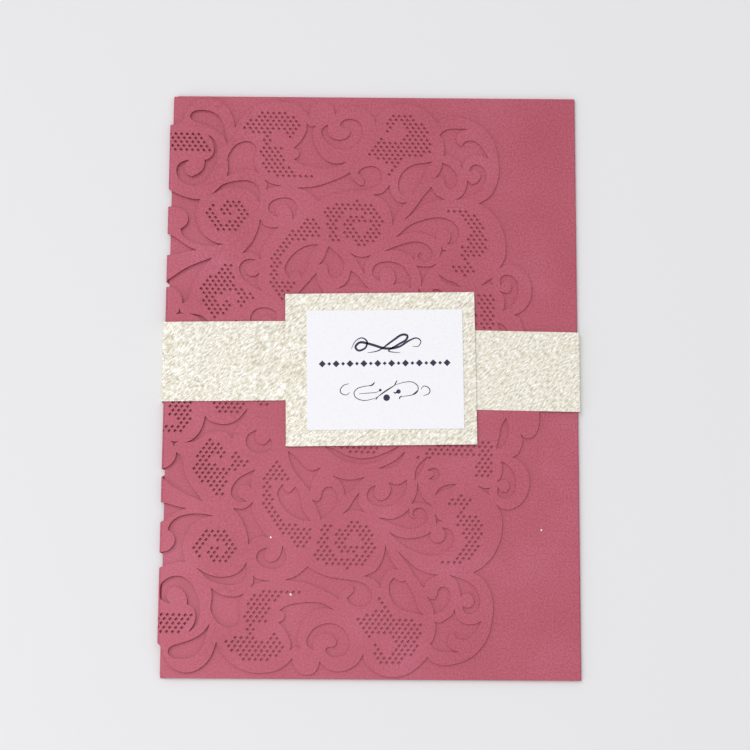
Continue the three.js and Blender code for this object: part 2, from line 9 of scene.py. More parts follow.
import bpy
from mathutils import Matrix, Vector
from mathutils.geometry import delaunay_2d_cdt


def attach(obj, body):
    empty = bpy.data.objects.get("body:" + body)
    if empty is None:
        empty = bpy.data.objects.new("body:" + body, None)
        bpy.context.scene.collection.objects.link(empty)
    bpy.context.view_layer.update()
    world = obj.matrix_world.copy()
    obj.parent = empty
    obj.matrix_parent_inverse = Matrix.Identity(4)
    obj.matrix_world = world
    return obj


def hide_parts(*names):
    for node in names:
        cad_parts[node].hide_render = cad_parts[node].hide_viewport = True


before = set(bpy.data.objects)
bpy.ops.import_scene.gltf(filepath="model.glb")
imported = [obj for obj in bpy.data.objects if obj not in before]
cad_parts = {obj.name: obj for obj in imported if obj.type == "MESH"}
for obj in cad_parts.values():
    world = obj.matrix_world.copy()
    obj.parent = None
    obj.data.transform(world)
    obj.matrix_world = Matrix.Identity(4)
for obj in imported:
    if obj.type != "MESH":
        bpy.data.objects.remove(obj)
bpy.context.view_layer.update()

MM = 0.001

# Sizes and places of the sheets, as the solids have them. The band's ends and middle line are
# given where it turns a corner, and the lace is turned and shifted against the card.
CARD_WIDTH = 127
CARD_HEIGHT = 183
FOLDER_SHEET = 0.3
FOLD_PROUD = 0.9
FRONT_SHORT = 0.1
CORNER_CLIP_ACROSS = 1.5
CORNER_CLIP_DOWN = 1
FLAP_RISE = 0.55
FLAP_FLAT_FROM = -30
LACE_TURN = 0.0175
LACE_SHIFT = -0.54
LACE_FROM_LEFT_EDGE = 63.5
LACE_TIP = 51.6
LACE_END_AT_FOLD = 81.4
INSERT_SHEET = 0.3
BAND_WIDTH = 25
BAND_SHEET = 0.3
BAND_CORNER = 0.35
BAND_UPPER_END = 20
BAND_LOWER_END = -15
BAND_UPPER_Y = 6.9
BAND_LEFT_Y = 5.3
BAND_RIGHT_Y = 3.1
BAND_LOWER_Y = 4.2
BAND_ENDS_PRESSED = 0.05
MAT_WIDTH = 58.7
MAT_HEIGHT = 48
MAT_SHEET = 0.4
MAT_X = 2.5
MAT_Y = 3.6
MAT_TURN = 0.018
TAG_WIDTH = 48.3
TAG_HEIGHT = 37.6
TAG_SHEET = 0.3
TAG_SHIFT_X = 1.35
TAG_SHIFT_Y = -0.3
CARD_EDGE = 0.06
CLEARANCE = 0.3

# Heights of the sheets above the surface that the card lies on
BACK_UNDER = BAND_SHEET
BACK_TOP = BACK_UNDER + FOLDER_SHEET
FRONT_UNDER = BACK_TOP + INSERT_SHEET
FRONT_TOP = FRONT_UNDER + FOLDER_SHEET
FLAP_UNDER = FRONT_TOP + CLEARANCE
FLAP_TOP = FLAP_UNDER + FOLDER_SHEET
LOWER_END_UNDER = FLAP_TOP
UPPER_END_UNDER = LOWER_END_UNDER + BAND_SHEET - BAND_ENDS_PRESSED
MAT_UNDER = UPPER_END_UNDER + BAND_SHEET
TAG_UNDER = MAT_UNDER + MAT_SHEET
TAG_TOP = TAG_UNDER + TAG_SHEET

# How finely curves, folds and open fields are divided
CURVE_STEP = 0.45
FOLD_STEPS = 12
BOW_STEPS = 16
BAND_CORNER_STEPS = 6
LACE_FIELD_STEP = 3
PLAIN_FIELD_STEP = 8

# A field's points keep this share of their step away from cuts. The lace's outline and the plain
# field keep off the back panel's edge, points this near each other are merged, and the band's
# creases run between these two places across it.
FIELD_POINT_CLEAR = 0.45
LACE_CLEAR_OF_BACK = 0.2
PLAIN_CLEAR_OF_BACK = 4
MERGE_DISTANCE = 1e-6
BAND_CREASE = (-30, 40)

# The net: diamond holes in rows, each row shifted by half a pitch. Each hole leans a little,
# and keeps its middle a margin away from every cut.
NET_PITCH = 1.8
NET_ROW = 1.28
NET_START_U = -69.2
NET_TOP_V = 93.56
NET_ROWS = 72
NET_COLUMNS = 66
NET_HALF_WIDTH = 0.58
NET_HALF_HEIGHT = 0.58
NET_SLANT = -0.12
NET_LEAN = -0.02
NET_MARGIN = 0.62

# Outline of the flap's upper half, one smooth scallop a list, from the fold to the middle line
SCALLOPS = [
    [[-67, 81.2], [-63.8, 81.3], [-61.7, 82.9], [-60.6, 85.6], [-58.6, 88.6], [-55.4, 90.2],
        [-52, 90], [-48.9, 88.2], [-46.6, 85.2]],
    [[-45.2, 80.8], [-43.9, 83.4], [-41.6, 86.2], [-38.4, 88.5], [-34.4, 89.8], [-30, 89.8],
        [-26.2, 88.8], [-23.6, 86.9]],
    [[-22.2, 85.2], [-21.6, 87.6], [-20, 89.4], [-17.8, 90.2], [-15.6, 89.6], [-14.4, 88]],
    [[-13.9, 85.9], [-11.8, 88], [-8.8, 88.9], [-5.6, 88.4], [-3, 86.8], [-1.6, 85]],
    [[-0.8, 83.3], [-0.4, 85.4], [1.4, 87.8], [4.4, 89.6], [8, 90.2], [11.6, 89.6], [14.8, 87.8],
        [17, 85.7]],
    [[18.6, 83.8], [20.2, 85.4], [23, 86.3], [26.4, 85.9], [30.2, 84.6], [33.4, 82.3],
        [35.8, 79.2], [37.3, 75.5], [38, 71.5], [38.1, 67.5], [37.3, 63.9], [35.4, 60.4]],
    [[32, 58], [34.6, 56.4], [37.2, 53.8], [39, 50.8], [40.2, 47.4], [40.6, 43.8], [40.3, 40.4]],
    [[38.6, 37], [40.6, 38.4], [43.2, 38.4], [45.8, 37], [47.7, 34.6], [48.7, 31.4], [48.6, 28],
        [47.2, 25], [45.2, 23.2]],
    [[43.4, 22.4], [45, 21.3], [46, 19.4], [46.5, 17.2]],
    [[45.9, 15.1], [47.6, 16.3], [49.4, 16], [50.8, 14.4], [51.5, 12], [51.6, 8], [51.6, 4]],
]

# Cut-outs of the upper half: smooth runs that join at points
CUTOUTS = {
    "corner_leaf": [
        [[-47.3, 75.3], [-48.8, 77.6], [-50.6, 79.2], [-53, 80.5], [-56, 81.6], [-58.6, 82.5],
            [-59.6, 83.9], [-59, 85.4], [-57.2, 86.2], [-54.4, 86.2], [-51.7, 85.3], [-49.8, 83.4],
            [-48.6, 80.6], [-47.9, 77.8]],
    ],
    "corner_curl": [
        [[-53.8, 78.3], [-52.4, 76.2], [-51.7, 73.9], [-52, 71.8], [-53.1, 70.4]],
        [[-54.5, 69.9], [-54.5, 68.2], [-55.1, 66.6], [-56.5, 65.3]],
        [[-58.4, 64.4], [-59.9, 65.3], [-60.6, 67], [-60.3, 68.6]],
        [[-59.3, 69.8], [-61.2, 69.3], [-62.7, 68.1], [-63.2, 66.2], [-62.6, 64], [-61, 62.3],
            [-58.4, 61.3], [-55.9, 61.6], [-53.6, 63.2], [-51.9, 65.9], [-50.8, 69], [-50.4, 72],
            [-50.8, 74.8], [-51.9, 76.8]],
    ],
    "fold_hook": [
        [[-55.4, 57.1], [-57.2, 57.1], [-59.4, 57.5], [-62, 58.4], [-64.5, 59.6], [-67, 60.8]],
        [[-68.6, 58.6], [-68, 55.6], [-65, 54.4], [-62, 54], [-60.4, 53.3], [-59.2, 51.8],
            [-58.9, 50.2], [-59.5, 48.6]],
        [[-61.2, 47.3], [-60.6, 45.6], [-59.2, 44], [-57.2, 42.9], [-54, 42.2], [-50.5, 42.2]],
        [[-47.4, 42.7], [-50.2, 43.3], [-52.8, 44.8], [-54.8, 47], [-56, 50], [-56.4, 53]],
    ],
    "ring_crescent": [
        [[-52, 58.6], [-50.2, 60.4], [-48.6, 62], [-46, 63], [-42.2, 63.7], [-39.2, 63.2],
            [-37.3, 61.6], [-36.7, 59.4]],
        [[-36.9, 56.5], [-38.2, 58.7], [-40, 60.2], [-42.6, 61.1], [-46, 61.2], [-49.2, 60.2]],
    ],
    "petal": [
        [[-47.3, 64.6], [-47, 67.5], [-47.3, 70.8], [-46.4, 73.2], [-44.6, 75.4], [-41.8, 76.5],
            [-39.4, 75.9], [-38.3, 74.1], [-38.6, 71.2], [-38.5, 68.4]],
        [[-37.4, 66.1], [-39.4, 67], [-42, 67.1], [-44.8, 66.4]],
    ],
    "sweeping_leaf": [
        [[-22.9, 83], [-22.7, 81], [-23.4, 78.9], [-24.4, 77]],
        [[-26.6, 74.6], [-25.3, 73.9], [-24.8, 72.7], [-25.2, 71.6]],
        [[-26.5, 71], [-24.6, 69.6], [-21.5, 68.7], [-17, 68.2], [-13, 68.7]],
        [[-9.8, 70.5], [-12.8, 69.9], [-15.6, 70.5], [-18, 72.6], [-19.8, 75.4], [-20.7, 78.4],
            [-20.6, 80.4]],
        [[-19.8, 82.3], [-21.4, 81.8]],
    ],
    "top_curl": [
        [[-16, 82.6], [-17.5, 81.6], [-18, 79.8], [-17.2, 77.8], [-15.4, 75.8], [-12.6, 74.6],
            [-9.4, 74.7], [-6.8, 76.2], [-5.3, 78.6], [-5, 81.2], [-6, 83.5], [-8.2, 84.6],
            [-10.6, 84.4], [-12, 83.3]],
        [[-12.1, 82.1], [-11.2, 81.5], [-10, 81.6], [-9, 80.6], [-9.3, 79.2], [-10.6, 78.1],
            [-12.6, 77.7], [-14.8, 78.4], [-16, 80.2]],
    ],
    "long_curl": [
        [[-25.2, 61.7], [-22.5, 61.9], [-19.5, 62.3], [-16.3, 63.3], [-12.8, 64.8], [-10.4, 66]],
        [[-8.7, 67.2], [-8.2, 65.6], [-7, 64.2], [-5.6, 63.1]],
        [[-4.4, 62.9], [-4.2, 64.4], [-5, 65.6]],
        [[-6.2, 66.8], [-5.4, 68.1], [-3.7, 69.1], [-1.3, 69.3], [0.6, 68.3], [1.4, 66.4],
            [1, 64.3], [-0.6, 62.5], [-3.3, 61.5], [-6.6, 61.1], [-10.2, 60.7], [-13.6, 59.9],
            [-16.2, 58.7]],
        [[-18.4, 57.4], [-20.2, 59.2], [-22.3, 60.7]],
    ],
    "right_hook": [
        [[19.2, 80], [20.4, 81.3], [22, 82.1], [24.5, 82.3]],
        [[28.3, 82.2], [26.3, 81.6], [24.9, 80.4], [24.6, 78.6], [25.2, 77.3]],
        [[26.3, 76.5], [27.1, 77.9], [28.8, 78.5], [30.8, 78.1], [32.4, 76.7], [33.6, 74.9]],
        [[34.8, 72.7], [32.6, 73.6], [30, 73.7], [28, 72.7], [27, 71.2]],
        [[26.5, 69.3], [25.7, 71.1], [24, 72.4], [22.2, 73.5]],
        [[20.6, 73.2], [20.9, 75], [20.6, 77], [20.1, 78.8]],
    ],
    "right_curl": [
        [[24.5, 58.9], [26.1, 59.9], [27.3, 61.5], [28, 63.4]],
        [[28.3, 65.5], [29.6, 64.3], [31.3, 64.8], [32.3, 66.5], [31.8, 68.1], [30.5, 68.8]],
        [[28.9, 68.3], [29.2, 69.8], [30.7, 70.7], [32.6, 70.2], [34, 68.4], [34.1, 66],
            [33.1, 63.4], [31.2, 61.3], [28.2, 59.9]],
    ],
    "broad_leaf": [
        [[7.9, 60.2], [6.8, 61.6], [6.5, 63.6], [6.9, 65.8], [8, 67.8], [9.8, 69.4], [12.2, 70.4],
            [14.6, 70.8]],
        [[17.2, 71.3], [15.7, 69.6], [15, 67.6], [14.2, 65.4], [12.8, 63.2]],
        [[11.5, 61], [9.8, 61.3]],
    ],
    "comma": [
        [[20.3, 71], [20, 69.2], [19.2, 67.4]],
        [[18, 65.7], [19.4, 66.4], [20.6, 66.2]],
        [[21.1, 65.1], [21.4, 63.6], [22.6, 62.6], [24.1, 62.9], [25.1, 64.4], [25.1, 66.4],
            [24.1, 68.4], [22.5, 70]],
    ],
    "slant_leaf": [
        [[8.3, 51.6], [10.3, 53.9], [12.2, 56.4], [14.3, 59.6]],
        [[17, 63.1], [17.8, 61.4], [19, 60.2]],
        [[21.4, 59], [18.4, 58.6], [15, 57.3], [12, 54.8]],
    ],
    "wide_hook": [
        [[6, 46.2], [8.6, 47.5], [11.6, 48.1], [14.4, 47.9], [17, 47.1]],
        [[18.9, 45.9], [18.8, 47.6], [20, 49], [21.9, 49.1], [23.2, 47.6], [23.1, 45.8]],
        [[22.2, 44.5], [24.3, 44.9], [25.7, 46.4], [26, 48.6], [25, 50.8], [22.8, 52.5],
            [19.6, 53.2], [16, 52.7], [12.6, 51.5], [9.8, 49.9]],
    ],
    "low_hook": [
        [[2.6, 41.9], [4.6, 42.8], [7, 43.8], [9.6, 44.7], [12.2, 45.2], [14.8, 44.8],
            [16.9, 43.5], [17.9, 41.6], [17.3, 39.7], [15.8, 38.6], [14.2, 38.9]],
        [[13.2, 39.9], [13.3, 41]],
        [[14.1, 41.9], [12.7, 41.5], [12.2, 40.5]],
        [[12.2, 39], [10.8, 40.4], [9, 41.5], [6.6, 42.3]],
    ],
    "right_spur": [
        [[20.6, 44], [20.9, 42.9]],
        [[22.4, 42.5], [21.1, 42]],
        [[19.9, 40.4], [20.4, 42.2]],
    ],
    "lower_spur": [
        [[33, 31.5], [34.8, 33]],
        [[36.8, 34.3], [36.1, 33.1]],
        [[36.9, 31.9], [35, 32.1]],
    ],
    "upper_spur": [
        [[-35.5, 64.2], [-34.2, 63.3], [-32.4, 62.6]],
        [[-29.6, 62.1], [-32, 61.9], [-33.4, 61.5]],
        [[-34.9, 60.7], [-34.6, 62.4]],
    ],
    "middle_curl": [
        [[-30.8, 52], [-32.5, 52.6], [-33.8, 53.9], [-33.9, 55.7], [-32.7, 57.3], [-30.6, 58.2],
            [-28, 58.4], [-25.9, 57.4], [-24.9, 55.4], [-25.1, 53.2]],
        [[-26.2, 51.3], [-26.5, 53.3], [-27.4, 55.2], [-29.2, 56.3], [-31, 55.7], [-31.6, 54]],
    ],
    "ring_shadow": [
        [[-36.5, 51.2], [-36.8, 48.8], [-37.6, 46.2], [-38.9, 43.4]],
        [[-41.6, 40.1], [-39, 40.4], [-37.2, 39.6]],
        [[-35.5, 37.9], [-35.9, 40], [-35, 42.6], [-33.4, 45.2], [-32, 47.3]],
        [[-30.5, 48.8], [-32.8, 48.6], [-34.9, 49.3]],
    ],
    "fold_leaf": [
        [[-50.8, 38.4], [-54.5, 36.9], [-58, 35.3], [-61, 33.4], [-63.6, 31.4], [-66.2, 30]],
        [[-68, 28.8], [-65, 28.6], [-62.6, 28.2], [-60.8, 26.9], [-59.8, 25.2]],
        [[-59.6, 23.4], [-58.2, 24.3], [-57.3, 26.6], [-56.7, 29.5], [-55.2, 32.6], [-53, 35.6]],
    ],
    "fold_slot": [
        [[-55.8, 40.6], [-58.6, 41.8], [-61, 43.4], [-63.5, 45], [-66.5, 45.8], [-68.6, 43.6],
            [-68, 40.2], [-65.5, 38.8], [-62, 39.2], [-58.8, 40]],
    ],
    "low_curl": [
        [[-37.3, 38], [-39.4, 38.3], [-41.5, 37.3], [-42.4, 35.3], [-41.8, 33], [-40.3, 31],
            [-38.1, 29.5]],
        [[-35.1, 28], [-36.3, 30], [-36.5, 32]],
        [[-36.1, 33.9], [-37.6, 32.8], [-39.4, 33.1], [-40.5, 34.6], [-40.1, 36.3], [-38.9, 37.2]],
    ],
    "band_curl": [
        [[-30.4, 21.6], [-32.6, 22.7], [-35.4, 22.8], [-37.6, 21.5], [-38.4, 19.4], [-37.7, 17.2]],
        [[-35.2, 15.7], [-35.6, 17.8], [-34.8, 19.6], [-32.8, 20.2]],
        [[-30.9, 18.3], [-30.2, 19.8]],
    ],
    "band_leaf": [
        [[-57.6, 20.4], [-55.2, 19.5], [-53.2, 17.6], [-51.9, 15]],
        [[-51.2, 11.8], [-49.6, 13.3], [-46.8, 14.2], [-43.6, 14], [-40.9, 12.4]],
        [[-38.2, 9], [-39.2, 12], [-40.8, 14.6], [-41.8, 16.4]],
        [[-42.6, 18.8], [-44.4, 17], [-47.2, 16.4], [-50.4, 17.2], [-53.4, 19.6]],
    ],
    "fold_spur": [
        [[-61.6, 19.9], [-60.7, 20.6]],
        [[-60.4, 21.9], [-60, 20.7]],
        [[-59, 20], [-60.3, 20.1]],
    ],
    "under_leaf": [
        [[-17.8, 43.5], [-20.6, 43.3], [-23.4, 42.1], [-25.8, 40.1], [-27.6, 37.5], [-28.2, 34.8]],
        [[-26.7, 32.3], [-26, 34.2], [-24.6, 34.9]],
        [[-22.8, 33], [-21.4, 35.2], [-20.8, 38], [-19.8, 41]],
    ],
    "bud": [
        [[-14.7, 43], [-15.5, 40.8], [-16.3, 38.8]],
        [[-17.6, 37], [-15.9, 37.4], [-14.9, 36.2], [-14.6, 34.4], [-13.4, 33], [-11.6, 33],
            [-10.2, 34.6], [-9.6, 36.8], [-10.3, 39], [-12.2, 41]],
    ],
    "tag_leaf": [
        [[-18.3, 34.4], [-20.3, 31.9], [-22.8, 28.9], [-24.6, 25.6]],
        [[-25.4, 22], [-22.6, 24.2], [-20.2, 26.8], [-17.8, 28]],
        [[-15.2, 26.8], [-16.6, 29.4], [-17.8, 31.6]],
    ],
    "gusset": [
        [[-8.3, 41.3], [-6.4, 40.2], [-4, 39.8]],
        [[-1.4, 40.5], [-2.6, 39], [-3.4, 37]],
        [[-3.2, 34.3], [-4.7, 36.4], [-6.2, 39]],
    ],
    "wedge": [
        [[-7.6, 35.4], [-8.2, 32.8], [-9.4, 30.9]],
        [[-11.6, 29.4], [-8, 30.4], [-5, 30.4]],
        [[-1.6, 29.6], [-3.6, 31.6], [-5.4, 33.8]],
    ],
    "tag_hook": [
        [[1.7, 32], [-0.1, 33.1], [-0.9, 35.2], [0, 37.4], [2.4, 38.4], [5.3, 38.5], [8.2, 37.4],
            [10.2, 35.2], [11.2, 32.6]],
        [[11.2, 30], [9.4, 31.4], [7.6, 31.6]],
        [[5.6, 31], [6.4, 32.8], [6, 34.8], [4.4, 36.4], [2.4, 36.4], [1.3, 34.6]],
    ],
    "thorn": [
        [[12.8, 37.4], [13.9, 35.2], [14.4, 33]],
        [[14.5, 30.6], [15.3, 33.4], [16.8, 36]],
        [[19.5, 38.5], [17.4, 37.4], [15.2, 37.2]],
    ],
    "thin_leaf": [
        [[19.8, 34.8], [21.2, 32.6], [23.4, 31.4]],
        [[26.6, 30.9], [25, 32.3], [22.6, 33.1]],
    ],
    "edge_curl": [
        [[38.7, 30.1], [39.8, 28.9], [40.3, 27.2], [40.4, 25.6]],
        [[40, 23.6], [42.4, 25], [44, 27.2], [44.7, 30], [44.3, 32.9], [42.8, 34.8], [40.7, 35.2],
            [39, 34]],
        [[39.2, 31.6], [40.2, 33], [41.8, 33], [42.6, 31.4], [42, 29.8], [40.6, 29.4]],
    ],
    "edge_leaf": [
        [[38.4, 19.8], [40.6, 18.8], [42, 16.4], [42.2, 13.4]],
        [[41.4, 10], [39.8, 13], [39.2, 16.4]],
    ],
    "star": [
        [[-1.2, 60], [1.4, 60.6], [2.8, 61.8]],
        [[3.9, 63.3], [4.2, 61.2], [5.4, 59], [7, 57.7]],
        [[9.3, 57.8], [7.7, 55.9], [6.4, 53.6]],
        [[5.1, 50.3], [4.8, 53], [3.9, 55.8], [2, 58.4]],
    ],
    "medallion": [
        [[-15, 19.6], [-11.6, 22.8], [-7.6, 24.8], [-3, 25.6], [1.4, 24.9], [5.4, 22.8]],
        [[8.8, 19.6], [4.6, 21.8], [0.8, 23.3], [-3, 23.8], [-7, 23.1], [-11, 21.3]],
    ],
    "medallion_leaf": [
        [[2.4, 26.8], [5.4, 25.4], [8, 23.8]],
        [[10.6, 21.2], [9, 24.6], [6.2, 26.6]],
    ],
    "crescent_leaf": [
        [[13.6, 30.2], [13.8, 27.4], [15, 25]],
        [[17.6, 22.6], [16.4, 25.4], [15.4, 27.8]],
    ],
    "small_comma": [
        [[17.8, 29.8], [19.8, 30], [21.2, 28.8], [21, 27], [19.4, 26.2]],
        [[17.4, 27], [19, 27.4], [19.2, 28.6]],
    ],
}

# Fields of net in the upper half
NET_FIELDS = {
    "corner": [
        (-69, 79), (-57, 79), (-54.5, 77.5), (-53, 75.5), (-52.2, 73.7), (-53, 72.3),
        (-55.5, 71.8), (-58, 72.3), (-62.5, 72.3), (-69, 72.4),
    ],
    "upper_scroll": [
        (-45, 78), (-43.2, 80.8), (-41.2, 82.8), (-39, 85), (-36.4, 86.5), (-32, 86.8),
        (-28.5, 86.2), (-26.4, 84.3), (-25, 82.3), (-25.2, 80.5), (-26, 79), (-27.5, 77.6),
        (-29.5, 79), (-30.5, 80.2), (-32.5, 80.2), (-33.6, 78.8), (-33.8, 77), (-33.4, 75.6),
        (-31.5, 75.2), (-29, 74.9), (-29.8, 73), (-29, 71.8), (-29.5, 70), (-28.5, 68.6),
        (-26.5, 68), (-25.2, 66.6), (-23, 66), (-20.3, 65.4), (-22, 64.2), (-26, 64.1),
        (-30, 64.5), (-33, 66), (-35.5, 67.3), (-37, 69), (-36.8, 70.5), (-36, 72),
        (-37.2, 73.5), (-36, 75), (-37, 76.5), (-36.5, 78.5), (-38, 79), (-40, 79.3),
        (-42.5, 80), (-44, 79),
    ],
    "left_ring": [
        (-51.2, 57.6), (-52.4, 56), (-53.2, 53.5), (-53, 50.8), (-52, 48.8), (-50.6, 47.4),
        (-48.5, 46.4), (-46, 46.2), (-43.4, 47), (-41.6, 48.6), (-40.4, 51), (-40.4, 53.6),
        (-41.4, 55.8), (-43.2, 57.2), (-45.2, 57.8), (-47.4, 57.4), (-49, 56), (-49.2, 53.8),
        (-48, 52), (-46, 51.6), (-45, 52.8), (-45.2, 54.4), (-44, 54.6), (-43.8, 52.4),
        (-44.8, 50.6), (-46.6, 49.8), (-48.8, 50), (-50.2, 51.4), (-50.8, 53.6), (-50.6, 56),
    ],
    "left_fan": [
        (-45.3, 37), (-44.2, 35.5), (-44.2, 33.5), (-43.3, 31), (-42.2, 29.5), (-40.8, 28),
        (-39, 27.5), (-37.8, 26.3), (-35.8, 25.5), (-38.3, 24.6), (-40.5, 24), (-41.5, 22.8),
        (-42.3, 24), (-42, 25.5), (-43.3, 26.8), (-45.5, 27.5), (-48, 26.8), (-49.3, 25),
        (-49.5, 23.8), (-47.7, 23.5), (-46.5, 23.8), (-45.8, 25), (-44.3, 24.8), (-44, 22),
        (-45, 20.5), (-47, 19.5), (-50, 19.2), (-52, 21), (-54, 23.5), (-54.6, 25),
        (-53.5, 26), (-54.5, 27.5), (-53.2, 29.5), (-52, 31.5), (-50.5, 33), (-48.5, 34.5),
        (-47, 35.8),
    ],
    "fold_field": [
        (-69, 16.5), (-57.8, 17.4), (-56.3, 15.5), (-55.2, 13.5), (-54.8, 12), (-55, 8),
        (-55.2, 4), (-62.5, 4), (-62.6, 10), (-62, 12.2), (-59.5, 12.8), (-58.5, 14.5),
    ],
    "long_sweep": [
        (-20, 53), (-18.5, 51.5), (-17.6, 49), (-17.6, 46.2), (-19, 45.9), (-21, 45.3),
        (-23.7, 44.2), (-25.4, 43.8), (-27.5, 42), (-28.8, 40), (-29.3, 38), (-30, 36),
        (-30.2, 33), (-29.5, 31.3), (-27.5, 31), (-24.7, 31.6), (-25.8, 29.3), (-27, 27),
        (-29, 25), (-30.6, 26.6), (-32, 29), (-32.7, 32), (-33, 35.5), (-32.5, 38),
        (-31.5, 41), (-30, 43), (-28.5, 45), (-27, 47), (-25, 48.4), (-23.5, 50),
        (-22.5, 51), (-21.2, 51.7),
    ],
    "middle_ring": [
        (-16.8, 54), (-15.7, 55.5), (-13.5, 56.5), (-11, 57), (-8, 57.7), (-5.5, 57.8),
        (-2.8, 57), (-0.8, 56), (0.3, 54.5), (1.3, 53), (1.9, 51.5), (2.1, 49.5),
        (1.5, 47.5), (0.3, 46), (-0.8, 44.5), (-3, 43.7), (-5, 43.2), (-6.8, 44.5),
        (-8.5, 45.3), (-9.5, 46.5), (-10.2, 48.5), (-10, 50), (-9.5, 51.3), (-8.5, 53),
        (-7, 53.2), (-5, 53), (-3.6, 52.4), (-2.8, 50.6), (-5, 51.2), (-6.6, 50.6),
        (-7, 49.3), (-6.2, 48), (-5, 47.3), (-3, 47.4), (-1.8, 48.6), (-1.6, 50),
        (-1.8, 52), (-2.6, 53.3), (-4, 54), (-6.5, 54.3), (-9, 54), (-10.5, 53),
        (-11.6, 51.5), (-12, 50), (-11.8, 48.5), (-11.6, 47), (-11.5, 44.5), (-10, 42.8),
        (-12.5, 43.7), (-14.3, 44.5), (-15.3, 46), (-15, 47.5), (-15.7, 49), (-15.3, 50.5),
        (-16, 52.5),
    ],
    "top_flower": [
        (1.3, 83.8), (2.7, 85.5), (4.5, 86.3), (6, 87), (7.7, 87), (9.5, 86.6), (11, 85.6),
        (12.2, 84.6), (13.6, 84), (14.6, 82.6), (15.6, 81.3), (16.2, 79.7), (16.6, 77),
        (17.3, 75.8), (16.3, 74.3), (15.3, 73.2), (13, 73), (11, 72.8), (9, 72),
        (7.9, 71), (6.8, 69.4), (5.9, 68.3), (5.2, 66.2), (3.6, 66.5), (3.9, 68.2),
        (4.2, 69.6), (3, 70.3), (1.6, 70.9), (-0.3, 71.6), (-3.4, 72.3), (-2.3, 74),
        (-2, 75.8), (-1, 77.6), (-0.3, 79), (-0.6, 80.2), (0.8, 78.4), (2.2, 77.5),
        (4, 77.2), (6.3, 77.7), (7.7, 78.6), (8.3, 80), (8.6, 81), (7.8, 82.2),
        (7.2, 83.5), (5.5, 83.7), (4.6, 83), (4, 81.8), (4.8, 80), (3.5, 80.1),
        (2, 81.3), (2.2, 82.7),
    ],
    "right_sweep": [
        (20, 56), (23, 56.2), (26.5, 56), (28.5, 55.3), (30.5, 54.2), (32, 53.5),
        (33.2, 52), (34.2, 50), (33.7, 48), (34.8, 47), (34.8, 45), (34.5, 43.5),
        (33.6, 41.7), (32.5, 40.7), (31, 39.6), (29.9, 40.3), (28.6, 41), (29.3, 38.5),
        (31.3, 36.8), (33.2, 36.3), (30.5, 35), (28.6, 34.3), (26.8, 34.7), (25, 35),
        (24, 36), (22.8, 38.2), (24.8, 38), (27, 38.2), (27.6, 39.6), (26, 42),
        (27.3, 44), (28.5, 45.5), (29.3, 47), (29.5, 48.5), (28.5, 49.5), (28.3, 51),
        (27, 52), (26, 53), (25, 54.3), (23.3, 54.8), (21.5, 55.3),
    ],
    "right_strip": [
        (31.6, 29), (36.8, 28.6), (37.8, 26.5), (37.6, 20), (36.6, 17), (33, 17),
        (32.8, 22), (32.2, 26),
    ],
    "band_dome": [
        (-49.5, 4), (-49, 8), (-47.5, 10.2), (-44.5, 11), (-41, 10.4), (-39, 8.5), (-38.4, 4),
    ],
    "band_spot": [(-36.4, 4), (-36, 7.6), (-34, 8.8), (-32, 7.8), (-31.6, 4)],
    "under_tag": [(-12, 19), (-9, 21.6), (-3, 22.8), (2, 22), (4, 20)],
    "tag_arc": [
        (13.6, 26.4), (14.5, 23), (17.8, 19.7), (23.8, 18.4), (32, 18.4), (32.6, 23), (30.9, 22.8),
        (27, 22.4), (22.4, 22), (18.2, 23.6), (16, 27),
    ],
}


# Points that lie on the card for points of the lace, as if the card were unfolded flat
def on_card(point):
    u, v = point
    return (
        LACE_FROM_LEFT_EDGE - CARD_WIDTH / 2 + u * math.cos(LACE_TURN) + v * math.sin(LACE_TURN),
        -u * math.sin(LACE_TURN) + v * math.cos(LACE_TURN) + LACE_SHIFT,
    )


def mirrored(points):
    return [(u, -v) for u, v in reversed(points)]


# One coordinate of a smooth curve between the middle two of four knots
def between(a, b, c, d, t):
    leave = (c - a) / 2
    arrive = (d - b) / 2
    cubic = 2 * b - 2 * c + leave + arrive
    square = -3 * b + 3 * c - 2 * leave - arrive
    return ((cubic * t + square) * t + leave) * t + b


# A smooth open curve through its knots, at nearly even steps, without its last point
def smooth_run(knots, step=CURVE_STEP):
    points = []
    last = len(knots) - 1
    for i in range(last):
        a = knots[max(i - 1, 0)]
        b = knots[i]
        c = knots[i + 1]
        d = knots[min(i + 2, last)]
        steps = max(1, round(math.dist(b, c) / step))
        for k in range(steps):
            t = k / steps
            points.append(tuple(between(a[n], b[n], c[n], d[n], t) for n in (0, 1)))
    return points


def outline_points(runs, last_point):
    points = []
    for i, run in enumerate(runs):
        following = runs[i + 1][0] if i + 1 < len(runs) else last_point
        points += smooth_run([tuple(p) for p in run] + [tuple(following)])
    return points


# Corners of a path along part of a circle
def arc(centre_x, centre_z, radius, from_angle, to_angle, steps):
    corners = []
    for k in range(steps + 1):
        angle = from_angle + (to_angle - from_angle) * k / steps
        corners.append((centre_x + radius * math.cos(angle), centre_z + radius * math.sin(angle)))
    return corners


